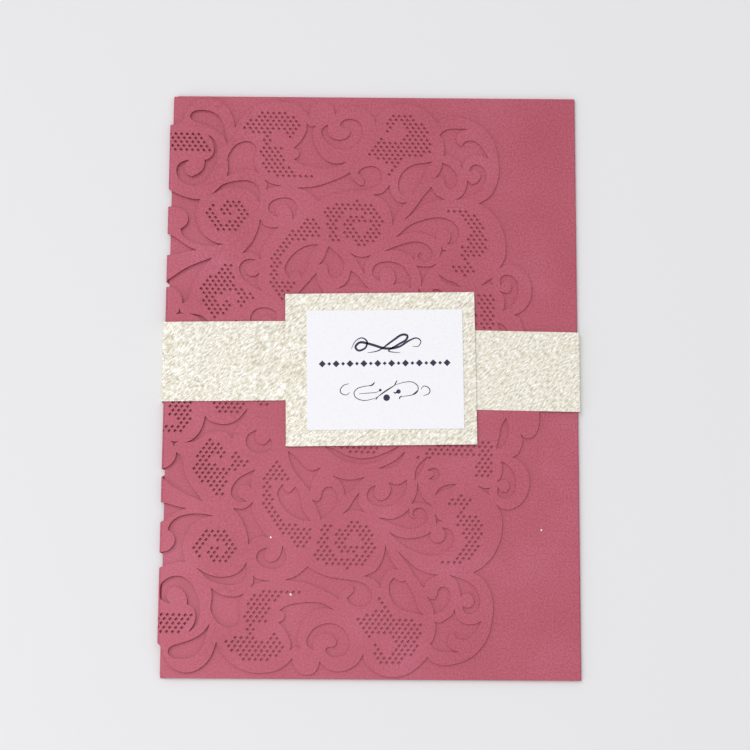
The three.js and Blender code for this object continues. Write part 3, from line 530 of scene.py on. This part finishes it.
# A folded sheet's middle line seen from the end: its corners, the length unrolled so far at each
# of them, and how its faces are mitred there
class Path:
    def __init__(self, corners):
        self.corners = corners
        self.lengths = [0]
        for a, b in zip(corners, corners[1:]):
            self.lengths.append(self.lengths[-1] + math.dist(a, b))
        self.mitres = [self.mitre(i) for i in range(len(corners))]

    def direction(self, i):
        (ax, az), (bx, bz) = self.corners[i], self.corners[i + 1]
        length = math.hypot(bx - ax, bz - az)
        return (bx - ax) / length, (bz - az) / length

    # Offset to the sheet's face at a corner, for one unit of thickness
    def mitre(self, i):
        last = len(self.corners) - 2
        before = self.direction(max(i - 1, 0))
        after = self.direction(min(i, last))
        sum_x = before[0] + after[0]
        sum_z = before[1] + after[1]
        scale = 2 / (sum_x * sum_x + sum_z * sum_z)
        return -sum_z * scale, sum_x * scale

    def lay(self, along, height):
        i = min(max(bisect_right(self.lengths, along) - 1, 0), len(self.corners) - 2)
        share = (along - self.lengths[i]) / (self.lengths[i + 1] - self.lengths[i])
        spot = []
        for n in (0, 1):
            middle = self.corners[i][n] + (self.corners[i + 1][n] - self.corners[i][n]) * share
            offset = self.mitres[i][n] + (self.mitres[i + 1][n] - self.mitres[i][n]) * share
            spot.append(middle + height * offset)
        return spot


# The folder's path, from the free edge of its front panel round to the far side of the flap
FLAP_FLAT_MIDDLE = (FLAP_UNDER + FLAP_TOP) / 2
FLAP_FOLD_MIDDLE = FLAP_FLAT_MIDDLE + FLAP_RISE
BACK_MIDDLE = (BACK_UNDER + BACK_TOP) / 2
FRONT_MIDDLE = (FRONT_UNDER + FRONT_TOP) / 2
LEFT_FOLD_RADIUS = (FLAP_FOLD_MIDDLE - BACK_MIDDLE) / 2
LEFT_FOLD_X = -CARD_WIDTH / 2 - FOLD_PROUD + FOLDER_SHEET / 2 + LEFT_FOLD_RADIUS
RIGHT_FOLD_RADIUS = (FRONT_MIDDLE - BACK_MIDDLE) / 2
RIGHT_FOLD_X = CARD_WIDTH / 2 - FOLDER_SHEET / 2 - RIGHT_FOLD_RADIUS
QUARTER = math.pi / 2


# The flap stands open at its fold and comes down in a smooth curve
def flap_height(x):
    along = min(max((x - LEFT_FOLD_X) / (FLAP_FLAT_FROM - LEFT_FOLD_X), 0), 1)
    return FLAP_FLAT_MIDDLE + FLAP_RISE * (1 - along * along * (3 - 2 * along))


def folder_path():
    bow = []
    for k in range(1, BOW_STEPS + 1):
        x = LEFT_FOLD_X + (FLAP_FLAT_FROM - LEFT_FOLD_X) * k / BOW_STEPS
        bow.append((x, flap_height(x)))
    return Path([
        (-CARD_WIDTH / 2 + FRONT_SHORT, FRONT_MIDDLE),
        *arc(RIGHT_FOLD_X, (FRONT_MIDDLE + BACK_MIDDLE) / 2, RIGHT_FOLD_RADIUS,
             QUARTER, -QUARTER, FOLD_STEPS),
        *arc(LEFT_FOLD_X, (FLAP_FOLD_MIDDLE + BACK_MIDDLE) / 2, LEFT_FOLD_RADIUS,
             -QUARTER, -3 * QUARTER, FOLD_STEPS),
        *bow,
        (CARD_WIDTH / 2, FLAP_FLAT_MIDDLE),
    ])


# Whether a point is inside a polygon
def is_inside(point, polygon):
    x, y = point
    inside = False
    for (ax, ay), (bx, by) in zip(polygon, polygon[1:] + polygon[:1]):
        if (ay > y) != (by > y) and x < ax + (y - ay) * (bx - ax) / (by - ay):
            inside = not inside
    return inside


# Remembers points by coarse cell, to ask quickly whether any lies near a place
class Neighbours:
    def __init__(self, cell):
        self.cell = cell
        self.cells = {}

    def add(self, point):
        key = (math.floor(point[0] / self.cell), math.floor(point[1] / self.cell))
        self.cells.setdefault(key, []).append(point)

    def any_within(self, point, reach):
        column = math.floor(point[0] / self.cell)
        row = math.floor(point[1] / self.cell)
        for c in (column - 1, column, column + 1):
            for r in (row - 1, row, row + 1):
                for other in self.cells.get((c, r), ()):
                    if math.dist(point, other) < reach:
                        return True
        return False


# The net's small holes: a place is left out where it comes too near a cut or leaves its field
def net_holes(rings):
    near = Neighbours(NET_MARGIN)
    for ring in rings:
        for point in ring:
            near.add(point)
    holes = []
    for row in range(NET_ROWS):
        v = NET_TOP_V - row * NET_ROW
        for column in range(NET_COLUMNS):
            u = NET_START_U + column * NET_PITCH + (row % 2) * NET_PITCH / 2
            if not any(is_inside((u, v), field) for field in NET_FIELDS.values()):
                continue
            if near.any_within((u, v), NET_MARGIN):
                continue
            holes.append([
                (u + NET_HALF_WIDTH, v + NET_LEAN), (u + NET_SLANT, v + NET_HALF_HEIGHT),
                (u - NET_HALF_WIDTH, v - NET_LEAN), (u - NET_SLANT, v - NET_HALF_HEIGHT),
            ])
    return holes


# Triangles of a flat sheet with holes. Creases and field points are added inside it.
def flat_triangles(rings, creases, field_points):
    points = []
    edges = []
    for ring in rings:
        first = len(points)
        points += ring
        edges += [(first + k, first + (k + 1) % len(ring)) for k in range(len(ring))]
    ring_edges = len(edges)
    for x, low, high in creases:
        edges.append((len(points), len(points) + 1))
        points += [(x, low), (x, high)]
    points += field_points
    vectors = [Vector(p) for p in points]
    flat, flat_edges, faces, _, edge_sources, _ = delaunay_2d_cdt(
        vectors, edges, [], 0, MERGE_DISTANCE, True)
    crossings = {}
    for (a, b), sources in zip(flat_edges, edge_sources):
        on_rings = sum(1 for source in set(sources) if source < ring_edges)
        crossings[(min(a, b), max(a, b))] = on_rings % 2
    sides = {}
    for number, face in enumerate(faces):
        for a, b in zip(face, face[1:] + face[:1]):
            sides.setdefault((min(a, b), max(a, b)), []).append(number)
    inside = {}
    outer = [(edge, numbers[0]) for edge, numbers in sides.items() if len(numbers) == 1]
    waiting = []
    for edge, number in outer:
        if number not in inside:
            inside[number] = crossings[edge] == 1
            waiting.append(number)
    while waiting:
        number = waiting.pop()
        face = faces[number]
        for a, b in zip(face, face[1:] + face[:1]):
            edge = (min(a, b), max(a, b))
            for other in sides[edge]:
                if other not in inside:
                    inside[other] = inside[number] != (crossings[edge] == 1)
                    waiting.append(other)
    kept = [tuple(face) for number, face in enumerate(faces) if inside[number]]
    return [(p.x, p.y) for p in flat], kept


# An object made of corners and faces
def new_piece(name, vertices, faces):
    mesh = bpy.data.meshes.new(name)
    mesh.from_pydata(vertices, [], faces)
    piece = bpy.data.objects.new(name, mesh)
    bpy.context.scene.collection.objects.link(piece)
    return piece


# A flat sheet's triangles laid along a path, with a face on either side and walls between
def folded_mesh(name, flat, triangles, thickness, path, unroll_from):
    used = sorted({v for triangle in triangles for v in triangle})
    place = {v: k for k, v in enumerate(used)}
    count = len(used)
    vertices = []
    for height in (thickness / 2, -thickness / 2):
        for v in used:
            x, z = path.lay(flat[v][0] - unroll_from, height)
            vertices.append((x * MM, flat[v][1] * MM, z * MM))
    top = []
    half_edges = set()
    for triangle in triangles:
        a, b, c = (place[v] for v in triangle)
        (ax, ay), (bx, by), (cx, cy) = (flat[v] for v in triangle)
        if (bx - ax) * (cy - ay) - (by - ay) * (cx - ax) < 0:
            b, c = c, b
        top.append((a, b, c))
        half_edges.update(((a, b), (b, c), (c, a)))
    under = [(a + count, c + count, b + count) for a, b, c in top]
    walls = [(b, a, a + count, b + count) for a, b in sorted(half_edges) if (b, a) not in half_edges]
    piece = new_piece(name, vertices, top + under + walls)
    faces_of_paper = len(top) + len(under)
    for face in piece.data.polygons:
        face.material_index = 0 if face.index < faces_of_paper else 1
    piece.data.validate()
    return piece


# Points spread over a field, so that a face has no long thin triangles
def field_points(low_x, high_x, low_y, high_y, step, near):
    points = []
    columns = int((high_x - low_x) / step)
    rows = int((high_y - low_y) / step)
    for i in range(1, columns):
        for j in range(1, rows):
            shift = step / 2 if j % 2 else 0
            point = (low_x + i * step + shift, low_y + j * step)
            if not near.any_within(point, step * FIELD_POINT_CLEAR):
                points.append(point)
    return points


# The folder is cut flat: outline, scrolls and net, with the lower half as the upper one's mirror
# image, and is then laid along its path
def make_folder():
    path = folder_path()
    flap_start = path.lengths[2 * (FOLD_STEPS + 1)]
    unroll_from = LEFT_FOLD_X - flap_start
    back_edge = LEFT_FOLD_X - math.pi * LEFT_FOLD_RADIUS
    half_height = CARD_HEIGHT / 2
    upper = outline_points(SCALLOPS, (LACE_TIP, 0))
    halves = [[on_card(p) for p in upper], [on_card(p) for p in mirrored(upper)]]
    contour = [p for p in halves[0] + halves[1] if p[0] > back_edge + LACE_CLEAR_OF_BACK]
    outline = [
        (unroll_from, half_height - CORNER_CLIP_DOWN),
        (unroll_from + CORNER_CLIP_ACROSS, half_height),
        (back_edge, half_height),
        (back_edge, LACE_END_AT_FOLD),
        *contour,
        (back_edge, -LACE_END_AT_FOLD),
        (back_edge, -half_height),
        (unroll_from + CORNER_CLIP_ACROSS, -half_height),
        (unroll_from, -half_height + CORNER_CLIP_DOWN),
    ]
    upper_cuts = [outline_points(runs, runs[0][0]) for runs in CUTOUTS.values()]
    holes = upper_cuts + net_holes([upper] + upper_cuts)
    rings = [outline]
    for hole in holes:
        rings.append([on_card(p) for p in hole])
        rings.append([on_card(p) for p in mirrored(hole)])
    near = Neighbours(LACE_FIELD_STEP)
    for ring in rings:
        for point in ring:
            near.add(point)
    lace_field = field_points(back_edge, CARD_WIDTH / 2, -half_height, half_height,
                              LACE_FIELD_STEP, near)
    plain_field = field_points(unroll_from, back_edge - PLAIN_CLEAR_OF_BACK,
                               -half_height, half_height, PLAIN_FIELD_STEP, near)
    creases = [(unroll_from + along, -half_height, half_height) for along in path.lengths[1:-1]]
    flat, triangles = flat_triangles(rings, creases, lace_field + plain_field)
    return folded_mesh("folder_sheet", flat, triangles, FOLDER_SHEET, path, unroll_from)


# The band's path starts at its lower end, goes round by the right and ends on top of its start
def make_band():
    lower_middle = LOWER_END_UNDER + BAND_SHEET / 2
    upper_middle = UPPER_END_UNDER + BAND_SHEET / 2
    under_middle = BAND_SHEET / 2
    right_x = CARD_WIDTH / 2 + CLEARANCE + BAND_SHEET / 2
    left_x = LEFT_FOLD_X - LEFT_FOLD_RADIUS - FOLDER_SHEET / 2 - CLEARANCE - BAND_SHEET / 2
    over_fold = FLAP_FOLD_MIDDLE + FOLDER_SHEET / 2 + CLEARANCE + BAND_SHEET / 2
    steps = BAND_CORNER_STEPS
    path = Path([
        (BAND_LOWER_END, lower_middle),
        *arc(right_x - BAND_CORNER, lower_middle - BAND_CORNER, BAND_CORNER, QUARTER, 0, steps),
        *arc(right_x - BAND_CORNER, under_middle + BAND_CORNER, BAND_CORNER, 0, -QUARTER, steps),
        *arc(left_x + BAND_CORNER, under_middle + BAND_CORNER, BAND_CORNER,
             -QUARTER, -2 * QUARTER, steps),
        *arc(left_x + BAND_CORNER, over_fold - BAND_CORNER, BAND_CORNER,
             -2 * QUARTER, -3 * QUARTER, steps),
        (FLAP_FLAT_FROM, upper_middle),
        (BAND_UPPER_END, upper_middle),
    ])
    side_corners = 2 * (steps + 1)
    middle_line = [
        (0, BAND_LOWER_Y),
        (path.lengths[1 + steps], BAND_RIGHT_Y),
        (path.lengths[1 + side_corners + steps], BAND_LEFT_Y),
        (path.lengths[-1], BAND_UPPER_Y),
    ]
    low = [(along, y - BAND_WIDTH / 2) for along, y in middle_line]
    high = [(along, y + BAND_WIDTH / 2) for along, y in reversed(middle_line)]
    creases = [(along, *BAND_CREASE) for along in path.lengths[1:-1]]
    flat, triangles = flat_triangles([low + high], creases, [])
    return folded_mesh("band_strip", flat, triangles, BAND_SHEET, path, 0)


# Where a point lies that is measured from the middle of the mat, which is slightly turned
def turned_with_mat(x, y, level):
    return (
        (MAT_X + x * math.cos(MAT_TURN) - y * math.sin(MAT_TURN)) * MM,
        (MAT_Y + x * math.sin(MAT_TURN) + y * math.cos(MAT_TURN)) * MM,
        level * MM,
    )


# A flat card with slightly rounded edges, its corners where the solid has them
def make_card(name, width, height, sheet, under, shift_x, shift_y):
    edge = CARD_EDGE
    rings = []
    for inset, level in ((edge, 0), (0, edge), (0, sheet - edge), (edge, sheet)):
        half_width = width / 2 - inset
        half_height = height / 2 - inset
        corners = [(-half_width, -half_height), (half_width, -half_height),
                   (half_width, half_height), (-half_width, half_height)]
        rings.append([(x + shift_x, y + shift_y, under + level) for x, y in corners])
    vertices = [turned_with_mat(x, y, z) for ring in rings for x, y, z in ring]
    faces = [(3, 2, 1, 0), (12, 13, 14, 15)]
    for ring in range(3):
        for k in range(4):
            a = ring * 4 + k
            b = ring * 4 + (k + 1) % 4
            faces.append((a, b, b + 4, a + 4))
    return new_piece(name, vertices, faces)


# A material whose methods add one node each and give its output
class Material:
    def __init__(self, name):
        self.data = bpy.data.materials.new(name)
        self.data.use_nodes = True
        self.nodes = self.data.node_tree.nodes
        self.links = self.data.node_tree.links
        self.shader = self.nodes["Principled BSDF"]

    # A number or a colour goes on the input itself, and another node's output is linked to it
    def fill(self, node, values):
        for name, value in values.items():
            socket = node.inputs[name.replace("_", " ")]
            if isinstance(value, (int, float)):
                socket.default_value = value
            elif isinstance(value, tuple):
                socket.default_value = (*value, 1)
            else:
                self.links.new(value, socket)

    def add(self, kind, **values):
        node = self.nodes.new("ShaderNode" + kind)
        self.fill(node, values)
        return node

    def surface(self, **values):
        self.fill(self.shader, values)

    def object_coordinates(self):
        return self.add("TexCoord").outputs["Object"]

    def noise(self, where, scale, detail=3, roughness=0.5):
        node = self.add("TexNoise", Vector=where, Scale=scale, Detail=detail, Roughness=roughness)
        return node.outputs["Fac"]

    # Each stop is a place with a colour, or with one number for a grey
    def ramp(self, value, *stops):
        node = self.add("ValToRGB", Fac=value)
        elements = node.color_ramp.elements
        while len(elements) < len(stops):
            elements.new(0.5)
        for element, (position, colour) in zip(elements, stops):
            element.position = position
            element.color = (*colour, 1) if isinstance(colour, tuple) else (colour, colour, colour, 1)
        return node.outputs["Color"]

    def multiplied(self, first, second):
        node = self.add("Mix")
        node.data_type = "RGBA"
        node.blend_type = "MULTIPLY"
        node.inputs[0].default_value = 1
        self.links.new(first, node.inputs[6])
        self.links.new(second, node.inputs[7])
        return node.outputs[2]

    def bump(self, height, strength, distance, under=None):
        node = self.add("Bump", Height=height, Strength=strength, Distance=distance)
        if under is not None:
            self.fill(node, {"Normal": under})
        self.surface(Normal=node.outputs["Normal"])
        return node.outputs["Normal"]


# A colour as a screen shows it, turned into the linear values that nodes take
def linear(red, green, blue):
    def channel(value):
        share = value / 255
        return share / 12.92 if share <= 0.04045 else ((share + 0.055) / 1.055) ** 2.4
    return channel(red), channel(green), channel(blue)


PEARL_DEEP = linear(174, 76, 94)
PEARL_MAIN = linear(179, 82, 100)
PEARL_PALE = linear(184, 91, 112)
PEARL_SHEEN = linear(214, 190, 232)
# The laser-cut edge's colours, painted lighter than the card: painted light for the shade in the
# cut-outs and net holes
CUT_EDGE_PAINTED_LIGHT = linear(214, 88, 86)
CUT_EDGE_PALE_PAINTED_LIGHT = linear(222, 112, 110)
GLITTER_DARK = linear(190, 183, 164)
GLITTER_GOLD = linear(220, 214, 196)
GLITTER_MAIN = linear(237, 233, 220)
GLITTER_PALE = linear(255, 255, 252)
GLITTER_SLANT = 42
GLITTER_STRETCH = 2.6
WHITE_CARD_SHADE = linear(238, 238, 243)
WHITE_CARD = linear(243, 243, 247)
INK = linear(24, 18, 48)
INK_THIN = linear(48, 40, 78)
FLOOR_GREY = linear(228, 228, 229)

# How fine each pattern is: the larger, the finer
CLOUD_SCALE = 45
GRAIN_SCALE = 1700
SOOT_SCALE = 900
RIDGE_SCALE = 1900
PATCH_SCALE = 260
FLAKE_SCALE = 3200
FIBRE_SCALE = 1400
COVER_SCALE = 2500


# Pearl card: faint clouds of colour under a fine grain that shines unevenly
def pearl_material():
    paper = Material("pearl_card")
    where = paper.object_coordinates()
    cloud = paper.noise(where, CLOUD_SCALE, 4)
    grain = paper.noise(where, GRAIN_SCALE, 4, 0.75)
    tone = paper.ramp(cloud, (0.3, PEARL_DEEP), (0.55, PEARL_MAIN), (0.8, PEARL_PALE))
    fleck = paper.ramp(grain, (0.38, (0.8, 0.64, 0.69)), (0.64, (1.15, 1.28, 1.28)))
    paper.surface(
        Base_Color=paper.multiplied(tone, fleck),
        Roughness=paper.ramp(grain, (0.3, 0.38), (0.75, 0.54)),
        Metallic=0.15, Sheen_Weight=0.6, Sheen_Roughness=0.45, Sheen_Tint=PEARL_SHEEN,
    )
    paper.bump(grain, 0.3, 0.00004)
    return paper.data


# The edge that the laser left, painted lighter and redder than a burnt edge is: painted light that
# lifts the shade inside the cut-outs and the net's holes
def cut_edge_painted_light_material():
    edge = Material("cut_edge_with_painted_light")
    soot = edge.noise(edge.object_coordinates(), SOOT_SCALE)
    edge.surface(Base_Color=edge.ramp(soot, (0.3, CUT_EDGE_PAINTED_LIGHT), (0.8, CUT_EDGE_PALE_PAINTED_LIGHT)), Roughness=0.85)
    edge.bump(soot, 0.3, 0.00003)
    return edge.data


# Glitter paper: slanting ridges of pressed flakes, with single flakes that glint
def glitter_material():
    paper = Material("glitter_paper")
    where = paper.object_coordinates()
    slant = paper.add("Mapping", Vector=where)
    slant.vector_type = "TEXTURE"
    slant.inputs["Rotation"].default_value = (0, 0, math.radians(GLITTER_SLANT))
    slant.inputs["Scale"].default_value = (GLITTER_STRETCH, 1, 1)
    ridges = paper.noise(slant.outputs["Vector"], RIDGE_SCALE, 3, 0.6)
    patch = paper.noise(where, PATCH_SCALE, 3, 0.6)
    flakes = paper.add("TexVoronoi", Vector=where, Scale=FLAKE_SCALE)
    split = paper.add("SeparateColor", Color=flakes.outputs["Color"])
    tone = paper.ramp(ridges, (0.32, GLITTER_DARK), (0.44, GLITTER_GOLD), (0.54, GLITTER_MAIN),
                      (0.66, GLITTER_PALE))
    shade = paper.ramp(patch, (0.35, (0.95, 0.94, 0.91)), (0.65, (1.03, 1.03, 1.04)))
    paper.surface(
        Base_Color=paper.multiplied(tone, shade),
        Metallic=paper.ramp(split.outputs["Green"], (0.75, 0), (0.97, 0.6)),
        Roughness=paper.ramp(split.outputs["Blue"], (0.2, 0.2), (0.8, 0.65)),
    )
    ridged = paper.bump(ridges, 0.45, 0.00012)
    paper.bump(split.outputs["Green"], 0.25, 0.00006, ridged)
    return paper.data


def white_material():
    paper = Material("white_card")
    fibre = paper.noise(paper.object_coordinates(), FIBRE_SCALE, 4)
    tone = paper.ramp(fibre, (0.3, WHITE_CARD_SHADE), (0.7, WHITE_CARD))
    paper.surface(Base_Color=tone, Roughness=0.7)
    paper.bump(fibre, 0.15, 0.00003)
    return paper.data


def ink_material():
    print_ink = Material("ink")
    cover = print_ink.noise(print_ink.object_coordinates(), COVER_SCALE)
    print_ink.surface(Base_Color=print_ink.ramp(cover, (0.3, INK), (0.8, INK_THIN)), Roughness=0.6)
    return print_ink.data


# Print on the tag: strokes that swell and taper, a hair above the card
INK_HEIGHT = 0.02
INK_LEVELS = (TAG_TOP - INK_HEIGHT, TAG_TOP + INK_HEIGHT)
STROKE_STEP = 0.3
STROKE_END = 0.12
DOT_CORNERS = 10


def on_tag(point, level):
    return turned_with_mat(point[0] - MAT_X, point[1] - MAT_Y, level)


# A solid between two like outlines, the lower one first
def add_prism(vertices, faces, lower, upper):
    first = len(vertices)
    count = len(lower)
    vertices += lower + upper
    faces.append([first + k for k in reversed(range(count))])
    faces.append([first + count + k for k in range(count)])
    for k in range(count):
        after = (k + 1) % count
        faces.append([first + k, first + after, first + count + after, first + count + k])


# A printed shape
def add_spot(vertices, faces, outline):
    lower, upper = [[on_tag(p, level) for p in outline] for level in INK_LEVELS]
    add_prism(vertices, faces, lower, upper)


# A pen stroke, widest at its middle
def add_stroke(vertices, faces, knots, width):
    line = smooth_run(knots, STROKE_STEP) + [knots[-1]]
    left, right = [], []
    for k, point in enumerate(line):
        before = line[max(k - 1, 0)]
        after = line[min(k + 1, len(line) - 1)]
        dx, dy = after[0] - before[0], after[1] - before[1]
        length = math.hypot(dx, dy)
        swell = math.sin(math.pi * k / (len(line) - 1))
        half = (STROKE_END + (width - STROKE_END) * swell) / 2
        left.append((point[0] - dy / length * half, point[1] + dx / length * half))
        right.append((point[0] + dy / length * half, point[1] - dx / length * half))
    first = len(vertices)
    count = len(line)
    for level in INK_LEVELS:
        vertices += [on_tag(p, level) for p in left]
        vertices += [on_tag(p, level) for p in right]
    low_left, low_right = first, first + count
    high_left, high_right = first + 2 * count, first + 3 * count
    for k in range(count - 1):
        faces.append([high_left + k, high_right + k, high_right + k + 1, high_left + k + 1])
        faces.append([low_left + k + 1, low_right + k + 1, low_right + k, low_left + k])
        faces.append([low_right + k, low_right + k + 1, high_right + k + 1, high_right + k])
        faces.append([low_left + k + 1, low_left + k, high_left + k, high_left + k + 1])
    end = count - 1
    faces.append([low_left, low_right, high_right, high_left])
    faces.append([low_right + end, low_left + end, high_left + end, high_right + end])


def add_disc(vertices, faces, centre, radius):
    outline = []
    for k in range(DOT_CORNERS):
        angle = 2 * math.pi * k / DOT_CORNERS
        outline.append((centre[0] + radius * math.cos(angle), centre[1] + radius * math.sin(angle)))
    add_spot(vertices, faces, outline)


def make_print():
    vertices, faces = [], []
    for knots, width in SWASHES:
        add_stroke(vertices, faces, knots, width)
    for centre, radius in DOTS:
        add_disc(vertices, faces, centre, radius)
    for k in range(ROW_COUNT):
        x = ROW_START + k * (ROW_END - ROW_START) / (ROW_COUNT - 1)
        half = ROW_HALF if k % 2 == 0 else ROW_SMALL_HALF
        diamond = [(x - half, ROW_Y), (x, ROW_Y - half), (x + half, ROW_Y), (x, ROW_Y + half)]
        add_spot(vertices, faces, diamond)
    return new_piece("tag_ornament", vertices, faces)


# Each stroke is its knots and its greatest width. A swash stands where the script line is, a row
# of diamonds under it, and a flourish below.
SWASHES = [
    ([(-6.5, 9.9), (-5.2, 12.3), (-3.2, 13.3), (-1.6, 12.1), (-2.2, 10.1), (-4.2, 9.3),
      (-5.2, 10.5), (-3.6, 11.9), (0, 11.1), (4, 9.9), (8, 10.3), (11.4, 12.3), (13.6, 13.1),
      (15, 12.1), (14.2, 10.5), (12.4, 10.5)], 0.8),
    ([(-1.5, 8.6), (2, 9.3), (6, 12.1), (9, 14.1), (10.8, 13.9), (10.4, 12.5), (8, 11.1), (5, 9.1),
      (8.6, 8.5)], 0.7),
    ([(1.3, -5.4), (4.1, -3.4), (7, -1.6)], 0.42),
    ([(0.6, -0.7), (-0.3, -1.6), (-2.7, -2), (-4.7, -2.6), (-5.8, -4), (-5.1, -5.6), (-2.8, -6.4),
      (-0.3, -6), (1.3, -5.4)], 0.26),
    ([(7, -1.6), (9.8, -0.8), (12.2, -0.8), (13.8, -2), (13.8, -3.6), (12.5, -4.7), (9.7, -5.2),
      (8.3, -5.4)], 0.26),
    ([(0.6, -0.7), (-0.2, -1.6), (-1.1, -1.8)], 0.45),
    ([(13.7, -3.4), (13.2, -4.1), (12.2, -4.7)], 0.45),
    ([(1.6, -5.2), (0.8, -6.2)], 0.35),
    ([(6.6, -1.9), (7.5, -0.2)], 0.35),
    ([(8.1, -6.1), (8.3, -5.5), (8.9, -5.1)], 0.4),
    ([(-7.3, -1.1), (-9, -1.6), (-10, -2.9), (-9.7, -4.1), (-8.2, -4.6), (-7.1, -3.8)], 0.28),
    ([(14.8, -3.1), (15.6, -2.1), (16.9, -2.4), (17.6, -3.5), (17.1, -4.5), (15.5, -5.1)], 0.3),
    ([(-4.3, -4.3), (-1.5, -4.1), (1, -3.9), (2.3, -3.1)], 0.2),
    ([(6.3, -3.8), (6.9, -4.2), (7.6, -3.6)], 0.5),
]
DOTS = [((4.2, -5.6), 1.05), ((7.9, -3.7), 0.7), ((2.3, -3.2), 0.42)]
ROW_COUNT = 19
ROW_START = -15.5
ROW_END = 23
ROW_Y = 5.2
ROW_HALF = 1.1
ROW_SMALL_HALF = 0.55 * ROW_HALF

# Pale crumbs of paper that lie on the card
SPECKS = [(51.8, -46, FRONT_TOP), (-30.7, -48.8, FLAP_TOP), (-24.3, -66.2, FLAP_TOP)]
SPECK_CORNERS = 7
SPECK_RADII = (0.22, 0.42)
SPECK_HEIGHT = 0.12
SPECK_SEED = 7


def make_specks():
    rng = random.Random(SPECK_SEED)
    vertices, faces = [], []
    for x, y, z in SPECKS:
        lower, upper = [], []
        for k in range(SPECK_CORNERS):
            angle = 2 * math.pi * k / SPECK_CORNERS
            radius = rng.uniform(*SPECK_RADII)
            px = (x + radius * math.cos(angle)) * MM
            py = (y + radius * math.sin(angle)) * MM
            lower.append((px, py, z * MM))
            upper.append((px, py, (z + SPECK_HEIGHT) * MM))
        add_prism(vertices, faces, lower, upper)
    return new_piece("paper_specks", vertices, faces)


# Gives a piece its materials and body, and hides the solids that it stands in for
def finish_piece(piece, slot, materials, *nodes):
    for material in materials:
        piece.data.materials.append(material)
    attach(piece, "root")
    if nodes:
        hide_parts(*nodes)


pearl = pearl_material()
cut_edge_painted_light = cut_edge_painted_light_material()
glitter = glitter_material()
white = white_material()
ink = ink_material()

finish_piece(make_folder(), "pearl_card", [pearl, cut_edge_painted_light], "folder")
finish_piece(make_band(), "glitter_paper", [glitter, glitter], "belly_band")
mat = make_card("mat_sheet", MAT_WIDTH, MAT_HEIGHT, MAT_SHEET, MAT_UNDER, 0, 0)
finish_piece(mat, "glitter_card", [glitter], "tag_mat")
tag = make_card("tag_sheet", TAG_WIDTH, TAG_HEIGHT, TAG_SHEET, TAG_UNDER, TAG_SHIFT_X, TAG_SHIFT_Y)
finish_piece(tag, "white_card", [white], "tag_card")
finish_piece(make_print(), "white_card", [ink])
finish_piece(make_specks(), "white_card", [white])
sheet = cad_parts["insert_card"]
sheet.data.materials.clear()
sheet.data.materials.append(white)


# The floor, the light and the camera. Only the camera's place is in millimetres.
FLOOR_HALF = 2.0
FLOOR_LEVEL = -0.00002


def make_floor():
    around = ((-1, -1), (1, -1), (1, 1), (-1, 1))
    corners = [(x * FLOOR_HALF, y * FLOOR_HALF, FLOOR_LEVEL) for x, y in around]
    floor = new_piece("floor", corners, [(0, 1, 2, 3)])
    plain = Material("floor")
    plain.surface(Base_Color=FLOOR_GREY, Roughness=0.9)
    floor.data.materials.append(plain.data)


CARD_MIDDLE = Vector((0, 0, 0))
SKY_STRENGTH = 0.67
SUN_STRENGTH = 0.55
SUN_SPREAD = 0.5
SUN_DIRECTION = Vector((0.55, -0.5, -1))


def add_panel(name, place, size, energy, colour):
    panel = bpy.data.objects.new(name, bpy.data.lights.new(name, "AREA"))
    panel.data.size = size
    panel.data.energy = energy
    panel.data.color = colour
    panel.location = place
    panel.rotation_euler = (CARD_MIDDLE - Vector(place)).to_track_quat("-Z", "Y").to_euler()
    bpy.context.scene.collection.objects.link(panel)


# Even light from all round, a weak sun, a window at the left and a panel overhead whose gloss
# falls on the lower left of the card
def make_lights():
    scene = bpy.context.scene
    world = bpy.data.worlds.new("world")
    world.use_nodes = True
    background = world.node_tree.nodes["Background"]
    background.inputs["Color"].default_value = (1, 1, 1, 1)
    background.inputs["Strength"].default_value = SKY_STRENGTH
    scene.world = world
    sun = bpy.data.objects.new("sun", bpy.data.lights.new("sun", "SUN"))
    sun.data.energy = SUN_STRENGTH
    sun.data.angle = SUN_SPREAD
    sun.rotation_euler = SUN_DIRECTION.to_track_quat("-Z", "Y").to_euler()
    scene.collection.objects.link(sun)
    add_panel("window", (-0.5, -0.3, 0.3), 0.5, 0.8, (0.94, 0.95, 1))
    add_panel("overhead_panel", (-0.24, 0.06, 1.3), 0.3, 2.9, (0.98, 0.97, 1))


# The camera stands where the photograph was taken: nearly above the card, a little to its bottom
LENS_PIXELS = 2250
FRAME_PIXELS = 750
SENSOR = 36
CAMERA_PLACE = (-2.86, -134.96, 682.85)
CAMERA_TURN = (11.35, -0.376, 0.355)
NEAREST = 0.05


def make_camera():
    camera = bpy.data.objects.new("camera", bpy.data.cameras.new("camera"))
    camera.data.sensor_width = SENSOR
    camera.data.lens = LENS_PIXELS / FRAME_PIXELS * SENSOR
    camera.location = [value * MM for value in CAMERA_PLACE]
    camera.rotation_euler = [math.radians(angle) for angle in CAMERA_TURN]
    camera.data.clip_start = NEAREST
    bpy.context.scene.collection.objects.link(camera)
    bpy.context.scene.camera = camera


make_floor()
make_lights()
make_camera()
bpy.context.scene.view_settings.view_transform = "Standard"
